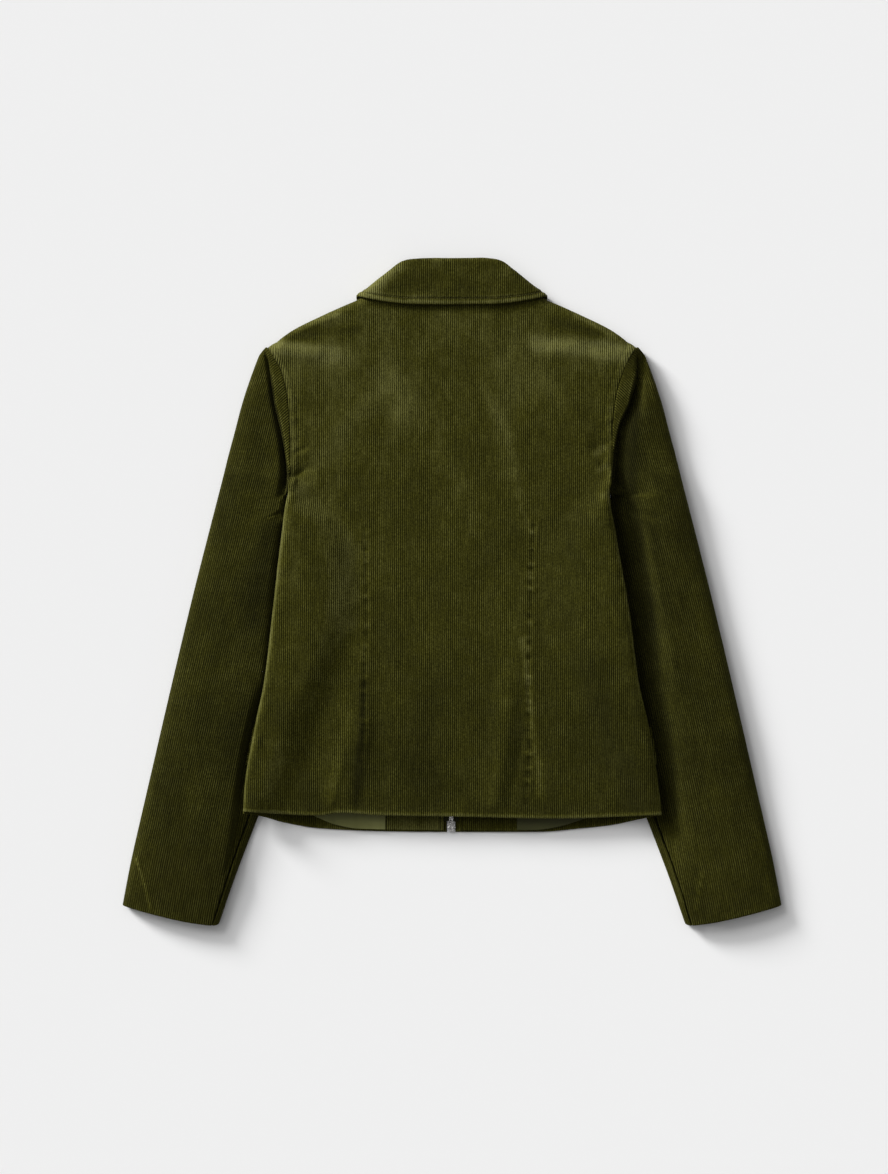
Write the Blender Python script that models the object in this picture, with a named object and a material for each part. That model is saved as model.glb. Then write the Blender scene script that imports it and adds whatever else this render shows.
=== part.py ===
"""A short corduroy jacket, zipped shut and laid face down on a floor.

The back panel is on top, the fronts rest on the floor, and the sleeves lie straight down beside
the body with their inner parts under its side edges. Sizes are in millimetres, and MM turns them
into Blender's metres. +X is the right of the laid jacket, +Y points to its collar, +Z is up, and
z = 0 is the floor. A side is -1 for the left and 1 for the right.
"""

import bpy
import numpy as np
from mathutils import Matrix

MM = 0.001

# Cloth and seams
CLOTH = 1.6
COLLAR_CLOTH = 2.0
LINING_CLOTH = 1.0
FACING_CLOTH = 1.4
TAPE_CLOTH = 1.0
SEAM_GAP = 0.3
SEAM_GROOVE = 1.2       # gap between two rolled edges at their outer faces, SEAM_GAP further in
ARMHOLE_GROOVE = 1.8

# The laid body
ZIP_X = -1.0
NECK_X = 88.0
TIP_X = 197.1
TIP_Y = 263.5
UNDERARM_Y = 108.0
SEAM_ROLL = 10.0        # how far in from a seam a panel starts to roll down to it
SHOULDER_SEAM_Z = 10.0
SIDE_SEAM_RISE = 7.5    # the side seam over the front's outer face
SLEEVE_LIFT = 14.0      # how far a sleeve lifts the front that lies on it
LIFT_FROM_FOLD = (-30, 15)  # where that lift starts and is full, from the sleeve's inner fold
SLEEVE_CLEARANCE = 3.3
LEAST_ROOM = 4.0        # least height of a sleeve under the body
VALLEY_ROOM = 8.5       # and in the valley beside the armhole
VALLEY_Y = (108, 138)   # where the one turns into the other
COLLAR_LIFT = 3.6       # how far the collar lifts the front that lies on it
COLLAR_LIFT_Y = (186, 205)
COLLAR_LIFT_X = (112, 132)
CALM = 12.0             # folds fade out this far from a seam
BACK_SHOULDER = 28.0    # how far inside NECK_X the drop to the shoulder seam starts
FRONT_SHOULDER = 16.0


def table(names, *rows):
    """Rows of numbers as named columns."""
    return dict(zip(names.split(), np.array(rows, float).T))


# Edge of the body on each side: armhole from the shoulder tip, then side seam to the hem
BODY_EDGE = table(
    "y left right",
    (263.5, -197.1, 197.1),
    (254.9, -192.8, 191.7),
    (240.8, -184.1, 185.2),
    (220.3, -178.7, 178.2),
    (199.8, -175.5, 174.4),
    (179.3, -174.4, 172.2),
    (158.8, -173.3, 172.8),
    (130.7, -173.9, 171.2),
    (108.0, -176.6, 170.0),
    (90.7, -180.4, 171.6),
    (76.7, -182.0, 174.3),
    (33.5, -187.4, 182.0),
    (-15.1, -192.8, 190.6),
    (-96.1, -202.5, 201.4),
    (-149.0, -213.3, 213.3),
    (-211.7, -223.6, 223.0),
    (-238.7, -225.2, 226.3),
)

# Upper edges by distance from the middle: neck curve to NECK_X, then shoulder seam
BACK_TOP = table(
    "x y",
    (0, 314), (45, 315.5), (88, 320), (105, 313.5), (140, 298), (172, 282), (197.1, 263.5),
)
FRONT_TOP = table(
    "x y",
    (0, 238), (30, 243), (55, 262), (75, 291), (88, 320), (105, 313.5), (140, 298), (172, 282),
    (197.1, 263.5),
)
BACK_HEM = table(
    "x y",
    (-225, -236.5), (-143, -240.8), (-121, -238.1), (-73, -240.8), (0, -241.9), (113, -244.1),
    (184, -241.9), (226, -239.8),
)
FRONT_HEM = table(
    "x y",
    (-225, -238.7), (-210, -240.5), (-182, -248.4), (-143, -254.9), (-73, -258.1), (0, -258.8),
    (92, -258.8), (140, -254.9), (171, -251.6), (212, -242.5), (226, -239.8),
)

# Height of the back panel over the floor along the middle line
CROWN = table("y z", (320, 21), (250, 19.5), (120, 18), (0, 16.5), (-150, 16), (-240, 15.5))

# Largest soft folds of the back panel: a line, the width of the fold, and its height (a trough's
# is negative)
BACK_FOLDS = table(
    "x0 y0 x1 y1 width height",
    (-190, 261, -138, 257, 8, 2.2),
    (-176, 276, -120, 284, 9, -1.6),
    (200, 263, 139, 263, 7, -1.8),
    (196, 256, 104, 262, 8, 1.8),
    (-93, 66, -94, -118, 12, -1.6),
    (-96, -128, -125, -232, 14, 2.4),
    (85, 76, 84, -226, 12, -1.5),
    (64, -80, 40, -236, 14, 2.0),
    (-174, 122, -150, 136, 8, -2.0),
    (168, 140, 150, 158, 8, -1.8),
)

# Sleeves: distance of the outer fold and of the inner fold from the middle, and full height
SLEEVE_OUT = table(
    "y x",
    (264, 198), (249.5, 210), (233, 216.5), (217, 222.5), (185, 231), (152, 240), (120, 247.9),
    (55, 264.6), (-10, 281), (-107, 304), (-204, 326.5), (-301, 348.5), (-338, 355.4),
)
SLEEVE_IN = table(
    "y x",
    (150, 235), (125, 192), (115, 177), (101, 171.5), (90, 159), (76.7, 144), (44, 128),
    (-10, 125.8), (-64, 140), (-118, 160.4), (-182, 186), (-247, 211.1), (-301, 231.7),
    (-355.3, 250.6),
)
SLEEVE_HEIGHT = table(
    "y z",
    (264, 13), (240, 17), (200, 20), (150, 22), (0, 23), (-150, 22), (-300, 18), (-338, 16),
)
TUBE_ROWS = (101, 90, 72, 45, 10, -40, -90, -140, -190, -240, -290, -325, -338)
CUFF_TILT = -17.3       # how much lower the cuff's inner corner lies than its outer one
CUFF_DROP = 13.0        # how far the cuff's edge bows down, most beside its inner corner
CUFF_SKEW = (0.9, 0.3)
CAP_CROWN = 3.5         # how much the cap's middle stands above its seam ends, toward +Y
CAP_CROWN_Y = (235, 259)

# Places round a flattened sleeve in degrees: 0 is its outer fold, 180 its inner fold, and a
# negative angle is on the side that lies on the floor
UNDERARM_ANGLES = (146, 144, 142, 140, 137.5, 134.5, 131, 122, 80, 45, 18, 0)
CROWDED_FOR = (7, 36)   # how far below the underarm the top sleeve's columns stay crowded
EDGE_COLUMNS = (-3, 2, 9)   # millimetres outside the body's edge
OUTER_COLUMNS = (0.82, 0.64, 0.47, 0.31, 0.17, 0.06, 0)     # shares of the way left to the fold
LEAST_COLUMN = 1.2      # from one column to the next
FLOOR_ANGLES = (-18, -45, -75, -103)
CAP_ANGLES = (80, 45, 18, 0, -18, -45, -90)
UNDER_SLEEVE_ANGLES = (150, 157, 168, 180, -166, -150, -128, -104.5)
FOLD_Z = 0.4            # height of a sleeve's side folds, as a share of the sleeve's height

# The fold beside the back armhole, from the seam over a strip of the sleeve to the valley's
# bottom: where the strip is wide, in strip widths, where it is narrow, in millimetres, and the
# drop of each as a share of the valley's depth
PLEAT = table(
    "wide wide_drop narrow narrow_drop",
    (0, 0, 0, 0),
    (0.5, 0.02, 0.5, 0.06),
    (0.9, 0.1, 1.0, 0.2),
    (1.02, 0.38, 1.4, 0.42),
    (0.8, 0.64, 1.7, 0.66),
    (0.35, 0.82, 2.2, 0.88),
    (0.75, 1.0, 3.4, 1.0),
)
PLEAT_STRIP = table(
    "y left right",
    (260, 5, 6), (250, 9, 12), (225, 13, 15), (206, 14, 15), (187, 11, 9), (165, 7.5, 4),
    (144, 5.2, 1), (123, 1.2, 0.8), (108, 0.8, 0.8), (90, 0, 0),
)
STRIP_TURNS = (2, 7)    # between these widths the narrow form turns into the wide one
PLEAT_ENDS = (240, 258)
PLEAT_RISE = table("y left right", (220, 8, 20), (108, 8, 24))  # from the valley to the top
MOST_RISE = 0.4         # of the way from the valley to the outer fold

# How a sleeve rises beside what covers it: how far outside that edge it starts, and its slope
SLEEVE_FREE = table(
    "y left right left_slope right_slope",
    (225, 1, 2, 2.4, 0.6),
    (140, 1, 8, 2.4, 0.6),
    (108, -2, 20, 2.4, 0.6),
    (-90, -2, 17, 2.4, 0.6),
    (-135, 4, 16, 2.4, 0.6),
    (-195, 4, 14, 2.4, 0.6),
    (-250, 6, 12, 1.5, 1.5),
)

# The collar from the middle of the back (0) round a side (0.5) to the zip (1): its roll line, its
# outer edge, half the gap between stand and fall, and the turn of that gap from up
COLLAR = table(
    "at roll_x roll_y roll_z edge_x edge_y edge_z half turn",
    (0.00, 0, 358.2, 22.0, 0, 309.0, 23.4, 2.6, 0),
    (0.20, 30, 358.2, 22.0, 46, 309.6, 23.4, 2.6, 0),
    (0.34, 47, 357.0, 21.5, 76, 313.0, 23.4, 2.6, 15),
    (0.42, 54, 354.5, 19.5, 95, 316.8, 22.4, 2.5, 40),
    (0.50, 57, 350.0, 13.0, 102, 319.0, 12.0, 2.3, 90),
    (0.57, 56, 345.0, 6.5, 103, 318.5, 3.0, 2.0, 140),
    (0.64, 52, 338.0, 3.4, 101, 306.0, 1.0, 1.7, 180),
    (0.82, 30, 309.0, 2.7, 80, 254.0, 1.0, 1.7, 180),
    (1.00, 4.6, 288.0, 2.7, 46, 216.0, 1.0, 1.7, 180),
)
COLLAR_BEND = 3.5       # how far from the roll line the stand and the fall are flat again
COLLAR_ROUND = (0.9, 0.72)  # points beside the roll line: along the cloth, and share of half
COLLAR_PUFF = 0.3
COLLAR_STATIONS = (0, 0.1, 0.2, 0.29, 0.36, 0.42, 0.46, 0.5, 0.54, 0.58, 0.63, 0.7, 0.79, 0.9, 1)

# Zip and pockets
FRONT_EDGE = 5.0        # from the middle of the zip to the edge of a front
FACING_EDGE = 8.5
FACING_END = 71.0
TAPE_END = 14.0
LINING_COLUMNS = slice(3, 8)
LINING_END = -14.0      # from the side edge
LINING_FIRST_ROW = 5
LINING_EASE = 1.3       # how loosely the lining lies on the front
HEM_INSET = 2.0
NECK_CLEARANCE = 1.8
SLIDER_Y = -251.5
SLIDER_LENGTH = 8.0
SLIDER_WIDTH_TOP = 6.6
SLIDER_WIDTH_BOTTOM = 8.8
SLIDER_Z = (0.4, 4.6)
SLIDER_CORNER = 1.0
SLIDER_FOOT = (1.2, 3.0)    # where its wide end is full, and where it starts to narrow
PULL_AXIS = (ZIP_X, -249.6, 5.9)
PULL_LENGTH = 9.6
PULL_WIDTH = 4.4
PULL_PLATE = 1.0
PULL_EYE = (2.4, 2.6)   # the hole in the pull: its width and its length
PULL_CORNER = (1.2, 1.6)
BRIDGE_WIDTH = 1.2
BRIDGE_EYE = 0.95       # from the pull's axis to the inside of the bridge
BRIDGE_LEG = 0.8
BRIDGE_SUNK = 0.4       # how far the bridge's legs go into the slider
BOX_SIZE = (5.2, 2.8, 2.6)
BOX_LOW = 0.6
WELT_TOP = -146.0
WELT_BOTTOM = -186.0
WELT_DEPTH = 14.0
WELT_PROUD = 1.6
WELT_CLOTH = 1.2
WELT_DROP = 1.0
WELT_ROWS = 6

# Colours and finishes: linear colour, roughness, metallic
FINISHES = {
    "corduroy": ((0.035, 0.031, 0.008), 0.9, 0.0),
    "lining": ((0.085, 0.088, 0.037), 0.5, 0.0),
    "zip_tape": ((0.020, 0.020, 0.007), 0.85, 0.0),
    "zip_metal": ((0.62, 0.61, 0.60), 0.3, 1.0),
}


# ---------------------------------------------------------------- curves and heights


def read(rows, name, at, key="y"):
    """One column of a table at other values of its key: a smooth line that never overshoots."""
    order = np.argsort(rows[key])
    keys = rows[key][order]
    values = rows[name][order]
    at = np.clip(np.asarray(at, float), keys[0], keys[-1])
    step = np.diff(keys)
    rise = np.diff(values) / step
    same_way = rise[:-1] * rise[1:] > 0
    total = np.where(same_way, rise[:-1] + rise[1:], 1)
    slope = np.empty_like(keys)
    slope[0] = rise[0]
    slope[-1] = rise[-1]
    slope[1:-1] = np.where(same_way, 2 * rise[:-1] * rise[1:] / total, 0)
    place = np.clip(np.searchsorted(keys, at, side="right") - 1, 0, len(step) - 1)
    part = (at - keys[place]) / step[place]
    back = 1 - part
    return (
        values[place] * back * back * (1 + 2 * part)
        + values[place + 1] * part * part * (1 + 2 * back)
        + step[place] * part * back * (slope[place] * back - slope[place + 1] * part)
    )


def ease(value, start, end):
    """0 before start, 1 after end, smooth between."""
    part = np.clip((value - start) / (end - start), 0, 1)
    return part * part * (3 - 2 * part)


def edge_x(y, side):
    return np.where(side < 0, read(BODY_EDGE, "left", y), read(BODY_EDGE, "right", y))


def edge_distance(x, y):
    """How far inside the body's edge a place is."""
    return np.where(x < 0, x - edge_x(y, -1), edge_x(y, 1) - x)


def rolled(distance):
    """Share of a round drop at a distance in from the seam: 1 at the seam, 0 past the roll."""
    inside = 1 - np.clip(distance / SEAM_ROLL, 0, 1)
    return 1 - np.sqrt(np.clip(1 - inside * inside, 0, 1))


def inner_fold_x(y, side):
    """Distance of a sleeve's inner fold from the middle. At the underarm it follows the edge of
    the body, which is narrower on the right."""
    narrower = np.abs(edge_x(y, -1)) - np.abs(edge_x(y, side))
    return read(SLEEVE_IN, "x", y) - narrower * ease(y, 60, UNDERARM_Y)


def sleeve_lift(x, y):
    """How high the sleeves beneath it lift the outer face of a front."""
    past_fold = np.abs(x) - inner_fold_x(y, np.sign(x))
    return SLEEVE_LIFT * ease(past_fold, *LIFT_FROM_FOLD)


def collar_lift(x, y):
    return COLLAR_LIFT * ease(y, *COLLAR_LIFT_Y) * (1 - ease(np.abs(x), *COLLAR_LIFT_X))


def side_share(y):
    """1 where the panels meet at a side seam, 0 along the armhole."""
    return 1 - ease(y, UNDERARM_Y - 6, UNDERARM_Y + 10)


def folds(x, y, rows):
    """Height added by soft folds that run along lines and fade at their ends."""
    total = np.zeros(np.broadcast(x, y).shape)
    for x0, y0, x1, y1, width, height in zip(*rows.values()):
        length = np.hypot(x1 - x0, y1 - y0)
        along_x = (x1 - x0) / length
        along_y = (y1 - y0) / length
        along = (x - x0) * along_x + (y - y0) * along_y
        across = (y - y0) * along_x - (x - x0) * along_y
        beyond = np.maximum(np.abs(along - length / 2) - length / 2 + width, 0)
        total = total + height * np.exp(-(across**2 + beyond**2) / width**2)
    return total


def seam_z(x, y):
    """Height of the side seam, the same from the front and from the back."""
    return sleeve_lift(x, y) + SIDE_SEAM_RISE


def back_z(x, y):
    """Outer face of the back panel."""
    flat = read(CROWN, "z", y) + 0.8 * sleeve_lift(x, y)
    from_edge = edge_distance(x, y)
    from_top = read(BACK_TOP, "y", np.abs(x), "x") - y
    calm = ease(np.minimum(from_edge, from_top), 0, CALM)
    flat = flat + folds(x, y, BACK_FOLDS) * calm
    side_drop = (flat - seam_z(x, y) - SEAM_GROOVE / 2) * rolled(from_edge) * side_share(y)
    on_shoulder = ease(np.abs(x), NECK_X - BACK_SHOULDER, NECK_X)
    top_drop = (flat - SHOULDER_SEAM_Z - SEAM_GROOVE / 2) * rolled(from_top) * on_shoulder
    return flat - np.maximum(side_drop, top_drop)


def front_z(x, y):
    """Outer face of a front panel, which faces the floor."""
    flat = np.maximum(sleeve_lift(x, y), collar_lift(x, y))
    from_edge = edge_distance(x, y)
    from_top = read(FRONT_TOP, "y", np.abs(x), "x") - y
    side_rise = (seam_z(x, y) - SEAM_GROOVE / 2 - flat) * rolled(from_edge) * side_share(y)
    on_shoulder = ease(np.abs(x), NECK_X - FRONT_SHOULDER, NECK_X)
    top_rise = (SHOULDER_SEAM_Z - SEAM_GROOVE / 2 - flat) * rolled(from_top) * on_shoulder
    return flat + np.maximum(side_rise, top_rise)


# ---------------------------------------------------------------- walls


def face_normals(grid):
    """A unit normal at each point of a grid, the mean of the faces round it."""
    across = grid[:-1, 1:] - grid[1:, :-1]
    down = grid[1:, 1:] - grid[:-1, :-1]
    faces = np.cross(down, across)
    size = np.linalg.norm(faces, axis=2, keepdims=True)
    faces = faces / np.where(size > 0, size, 1)
    total = np.zeros_like(grid)
    total[:-1, :-1] += faces
    total[1:, :-1] += faces
    total[:-1, 1:] += faces
    total[1:, 1:] += faces
    return total / np.linalg.norm(total, axis=2, keepdims=True)


def moved_in(grid, distance):
    """The grid moved against its normals. The distance may differ from column to column."""
    return grid - face_normals(grid) * np.reshape(distance, (1, -1, 1))


def material(name):
    found = bpy.data.materials.get(name)
    if found:
        return found
    colour, roughness, metallic = FINISHES[name]
    made = bpy.data.materials.new(name)
    made.use_nodes = True
    shader = made.node_tree.nodes["Principled BSDF"]
    shader.inputs["Base Color"].default_value = (*colour, 1)
    shader.inputs["Roughness"].default_value = roughness
    shader.inputs["Metallic"].default_value = metallic
    return made


def add_object(name, points, faces, finish):
    mesh = bpy.data.meshes.new(name)
    mesh.from_pydata([tuple(point * MM) for point in points], [], faces)
    mesh.materials.append(material(finish))
    mesh.shade_smooth()
    made = bpy.data.objects.new(name, mesh)
    bpy.context.scene.collection.objects.link(made)
    return made


def wall(name, outer, thickness, finish):
    """A closed wall under a grid of outer points whose normals face out."""
    rows, columns = outer.shape[:2]
    inner = moved_in(outer, thickness)
    count = rows * columns
    at = np.arange(count).reshape(rows, columns)
    faces = []
    for row in range(rows - 1):
        for column in range(columns - 1):
            a = int(at[row, column])
            b = int(at[row + 1, column])
            c = int(at[row + 1, column + 1])
            d = int(at[row, column + 1])
            faces.append((a, b, c, d))
            faces.append((a + count, d + count, c + count, b + count))
    rim = [*at[0, :], *at[1:, -1], *at[-1, -2::-1], *at[-2:0:-1, 0]]
    for first, second in zip(rim, rim[1:] + rim[:1]):
        first = int(first)
        second = int(second)
        faces.append((first, second, second + count, first + count))
    points = np.concatenate([outer.reshape(-1, 3), inner.reshape(-1, 3)])
    return add_object(name, points, faces, finish)


# ---------------------------------------------------------------- body panels


# Rows of a panel: its share of the way from the top edge to the hem, and millimetres back up
TOP_INSETS = (0, 0.8, 3.2, 6.5, 10.5)
PANEL_PARTS = (
    0.06, 0.12, 0.18, 0.24, 0.28, 0.31, 0.34, 0.37, 0.41, 0.47, 0.54, 0.62, 0.70, 0.78, 0.86,
    0.93, 1,
)
PANEL_ROWS = [(0, inset) for inset in TOP_INSETS] + [(part, 0) for part in PANEL_PARTS]
ARMHOLE_ROWS = PANEL_ROWS[2:11]

# Columns of a panel: its share of the way from the middle to the side edge, plus millimetres
NECK_COLUMN = (0.35, NECK_X - 0.35 * TIP_X)
SIDE_COLUMNS = (
    (0.58, 0), (0.75, 0), (0.87, 0), (1, -10.5), (1, -6.5), (1, -3.2), (1, -0.8), (1, 0),
)
FRONT_COLUMNS = ((0, FRONT_EDGE), (0, 30), (0, 55), (0.2, 39), NECK_COLUMN, *SIDE_COLUMNS)
BACK_COLUMNS = ((0, 0), (0.15, 0), (0.3, 0), NECK_COLUMN, *SIDE_COLUMNS)


def row_y(part, inset):
    """Where a panel's row meets its side edge."""
    return TIP_Y + part * (BODY_EDGE["y"][-1] - TIP_Y) - inset


def half_panel(side, columns, top_edge, hem, surface, middle):
    """Outer points of half a panel, its rows from the top edge to the hem and its columns from
    the middle to the side edge."""
    share, extra = np.array(columns, float).T
    top = read(top_edge, "y", share * TIP_X + extra, "x")
    grid = []
    for part, inset in PANEL_ROWS:
        reach = np.abs(edge_x(row_y(part, inset), side))
        x = side * (share * reach + extra) + middle * (1 - share)
        bottom = read(hem, "y", x, "x")
        y = top + part * (bottom - top) - inset * (1 - part)
        grid.append(np.stack([x, y, surface(x, y)], axis=1))
    return np.array(grid)


def build_back():
    halves = [half_panel(side, BACK_COLUMNS, BACK_TOP, BACK_HEM, back_z, 0) for side in (-1, 1)]
    grid = np.concatenate([halves[0][:, :0:-1], halves[1]], axis=1)
    wall("back", grid, CLOTH, "corduroy")
    return grid


def build_front(side, word):
    """A front. Its rows run from the zip to the side edge."""
    grid = half_panel(side, FRONT_COLUMNS, FRONT_TOP, FRONT_HEM, front_z, ZIP_X)
    wall("front_" + word, down_facing(grid, side), CLOTH, "corduroy")
    return grid


def down_facing(grid, side):
    """A grid that runs from the middle outward, turned so that its normals face the floor. A
    second call turns it back."""
    return grid if side < 0 else grid[:, ::-1]


def on_front(grid, side, distance):
    """The points of a front moved in from its outer face."""
    turned = moved_in(down_facing(grid, side), distance)
    return down_facing(turned, side)


def strip(grid, side, places):
    """Points of a grid's rows at given distances from the zip. A place below 0 is counted from
    the side edge."""
    rows = []
    for row in grid:
        away = side * (row[:, 0] - ZIP_X)
        at = np.array([place if place > 0 else away[-1] + place for place in places])
        y = np.interp(at, away, row[:, 1])
        z = np.interp(at, away, row[:, 2])
        rows.append(np.stack([ZIP_X + side * at, y, z], axis=1))
    return np.array(rows)


def build_inside(front, side, word):
    """The zip tape, then the facing over it, then the lining, each on the inner face of a front."""
    on_cloth = CLOTH + SEAM_GAP
    on_tape = on_cloth + TAPE_CLOTH + SEAM_GAP
    inner = on_front(front, side, on_cloth)
    over_tape = on_front(front, side, on_tape)

    tape = strip(inner, side, (FRONT_EDGE, FRONT_EDGE, TAPE_END))
    tape[:, 0, 0] = ZIP_X + side * SEAM_GAP / 2
    tape[:, :, 1] = np.maximum(tape[:, :, 1], SLIDER_Y + SLIDER_LENGTH / 2 + SEAM_GAP)
    wall("zip_tape_" + word, down_facing(tape, side), TAPE_CLOTH, "zip_tape")

    facing = strip(inner, side, (FACING_EDGE, TAPE_END + 1, 30, 55, FACING_END))
    facing[:, :2] = strip(over_tape, side, (FACING_EDGE, TAPE_END + 1))
    facing = facing[1:]
    facing[-1, :, 1] += HEM_INSET
    wall("facing_" + word, down_facing(facing, side), FACING_CLOTH, "corduroy")

    under_lining = on_front(front, side, on_cloth + LINING_EASE)
    ends = strip(under_lining, side, (FACING_END + SEAM_GAP, LINING_END))
    middle = under_lining[:, LINING_COLUMNS]
    lining = np.concatenate([ends[:, :1], middle, ends[:, 1:]], axis=1)
    lining = lining[LINING_FIRST_ROW:]
    lining[-1, :, 1] += HEM_INSET
    wall("lining_" + word, down_facing(lining, side), LINING_CLOTH, "lining")


# ---------------------------------------------------------------- sleeves


def around(angle, fold_z=FOLD_Z):
    """A place round a flattened tube: share of the way from outer to inner fold, and share of
    the height. The side on the floor is flat."""
    turn = np.radians(angle)
    across = 0.5 * (1 - np.cos(turn))
    bulge = np.abs(np.sin(turn)) ** 0.7
    over = fold_z + (1 - fold_z) * bulge
    under = np.maximum(0, fold_z - (fold_z + 0.3) * bulge)
    return across, np.where(turn >= 0, over, under)


def of_side(rows, name, x, y):
    """A column of a table for the side that a place is on."""
    return np.where(np.asarray(x) < 0, read(rows, "left" + name, y), read(rows, "right" + name, y))


def sleeve_room(x, y):
    """Height that a sleeve may have: low under the body and in the valley, then free to rise."""
    start = of_side(PLEAT_STRIP, "", x, y) + of_side(SLEEVE_FREE, "", x, y)
    outside = np.maximum(-edge_distance(x, y) - start, 0)
    under_body = sleeve_lift(x, y) - SLEEVE_CLEARANCE
    least = LEAST_ROOM + (VALLEY_ROOM - LEAST_ROOM) * ease(y, *VALLEY_Y)
    return np.maximum(under_body, least) + of_side(SLEEVE_FREE, "_slope", x, y) * outside


def top_angles(side, y):
    """Places round the top sleeve. At the underarm they crowd beside the body, and further down
    they straddle its edge."""
    crowded = np.array(UNDERARM_ANGLES, float)
    outer_x = read(SLEEVE_OUT, "x", y)
    width = outer_x - inner_fold_x(y, side)
    start, _ = around(crowded[0])
    near = (outer_x - np.abs(edge_x(y, side)) - np.array(EDGE_COLUMNS, float)) / width
    steps = 2 + np.arange(len(near))
    near = np.minimum(near, start - steps * LEAST_COLUMN / width)
    across = np.concatenate([
        [start, (start + near[0]) / 2], near, near[-1] * np.array(OUTER_COLUMNS),
    ])
    spread = np.degrees(np.arccos(1 - 2 * across))
    over = crowded + ease(UNDERARM_Y - y, *CROWDED_FOR) * (spread - crowded)
    return np.append(over, FLOOR_ANGLES)


def tube_row(side, y, angles):
    """One ring, or part of one, round a sleeve below the underarm."""
    across, up = around(np.array(angles, float))
    outer_x = read(SLEEVE_OUT, "x", y)
    along = (TUBE_ROWS[0] - y) / (TUBE_ROWS[0] - TUBE_ROWS[-1])
    tilt = CUFF_TILT * ease(along, 0.2, 1)
    inner_x = inner_fold_x(y + tilt, side)
    x = side * (outer_x + across * (inner_x - outer_x))
    bow = CUFF_DROP * across ** CUFF_SKEW[0] * (1 - across) ** CUFF_SKEW[1]
    rows_y = y + tilt * across - bow * ease(along, 0.7, 1)
    height = np.minimum(read(SLEEVE_HEIGHT, "z", y), sleeve_room(x, rows_y))
    return np.stack([x, rows_y, height * up], axis=1)


def cap_row(side, part, inset):
    """One section of the sleeve cap: from the back armhole over a strip into a valley, then up
    and over the outer fold to the front armhole."""
    y = row_y(part, inset)
    inside = edge_x(y, side)
    seam_x = inside + side * ARMHOLE_GROOVE
    back_height = back_z(inside, y)
    front_height = front_z(inside, y)
    outer_x = side * read(SLEEVE_OUT, "x", y)
    strip = of_side(PLEAT_STRIP, "", side, y)
    wide = ease(strip, *STRIP_TURNS)
    out = PLEAT["narrow"] + wide * (strip * PLEAT["wide"] - PLEAT["narrow"])
    drop = PLEAT["narrow_drop"] + wide * (PLEAT["wide_drop"] - PLEAT["narrow_drop"])
    depth = back_height - sleeve_room(inside + side * strip, y)
    pleat_x = seam_x + side * out
    pleat_z = back_height - depth * drop
    valley_x = pleat_x[-1]
    span = abs(outer_x - valley_x)
    rise = np.minimum(of_side(PLEAT_RISE, "", side, y), MOST_RISE * span)
    across, up = around(np.array(CAP_ANGLES, float))
    main_x = np.append(valley_x + side * rise, outer_x + across * (valley_x - outer_x))
    most = np.minimum(read(SLEEVE_HEIGHT, "z", y), back_height)
    main_z = np.minimum(most, sleeve_room(main_x, y)) * np.append(1, up)
    fold = len(pleat_x) + 1
    straight = np.arange(fold) / fold
    plain_x = seam_x + straight * (main_x[1] - seam_x)
    plain_z = back_height + straight * (most * up[0] - back_height)
    share = 1 - ease(y, *PLEAT_ENDS)
    x = np.concatenate([pleat_x, main_x, [seam_x]])
    z = np.concatenate([pleat_z, main_z, [front_height]])
    x[:fold] = plain_x + share * (x[:fold] - plain_x)
    z[:fold] = plain_z + share * (z[:fold] - plain_z)
    crown = CAP_CROWN * ease(y, *CAP_CROWN_Y)
    bump = np.sin(np.pi * np.linspace(0, 1, len(x)))
    return np.stack([x, y + crown * bump, z], axis=1)


def build_sleeve(side, word):
    rows = [cap_row(side, *row) for row in ARMHOLE_ROWS]
    rows += [tube_row(side, y, top_angles(side, y)) for y in TUBE_ROWS]
    top = np.array(rows)
    under = np.array([tube_row(side, y, UNDER_SLEEVE_ANGLES) for y in TUBE_ROWS])
    if side < 0:
        top = top[:, ::-1]
    else:
        under = under[:, ::-1]
    wall("sleeve_top_" + word, top, CLOTH, "corduroy")
    wall("sleeve_under_" + word, under, CLOTH, "corduroy")


# ---------------------------------------------------------------- collar


def neck_line(side, back, front):
    """Points just clear of the neck seam, from the middle of the back round a side to the zip, at
    the middle of the collar's wall."""
    stations = np.array(COLLAR_STATIONS)
    behind = stations <= 0.5
    half = back[0] if side > 0 else back[0, ::-1]
    half = half[len(half) // 2:]
    x_back = NECK_X * stations[behind] / 0.5
    y_back = np.interp(x_back, side * half[:, 0], half[:, 1])
    z_back = np.interp(x_back, side * half[:, 0], half[:, 2]) - CLOTH / 2
    share = (stations[~behind] - 0.5) / 0.5
    away = NECK_X + share * (FRONT_EDGE + 0.2 - NECK_X)
    edge = strip(front[:1], side, away)[0]
    behind_points = np.stack([side * x_back, y_back, z_back], axis=1)
    before_points = edge + np.array([0, 0, CLOTH / 2])
    return np.concatenate([behind_points, before_points]) + np.array([0, NECK_CLEARANCE, 0])


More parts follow.
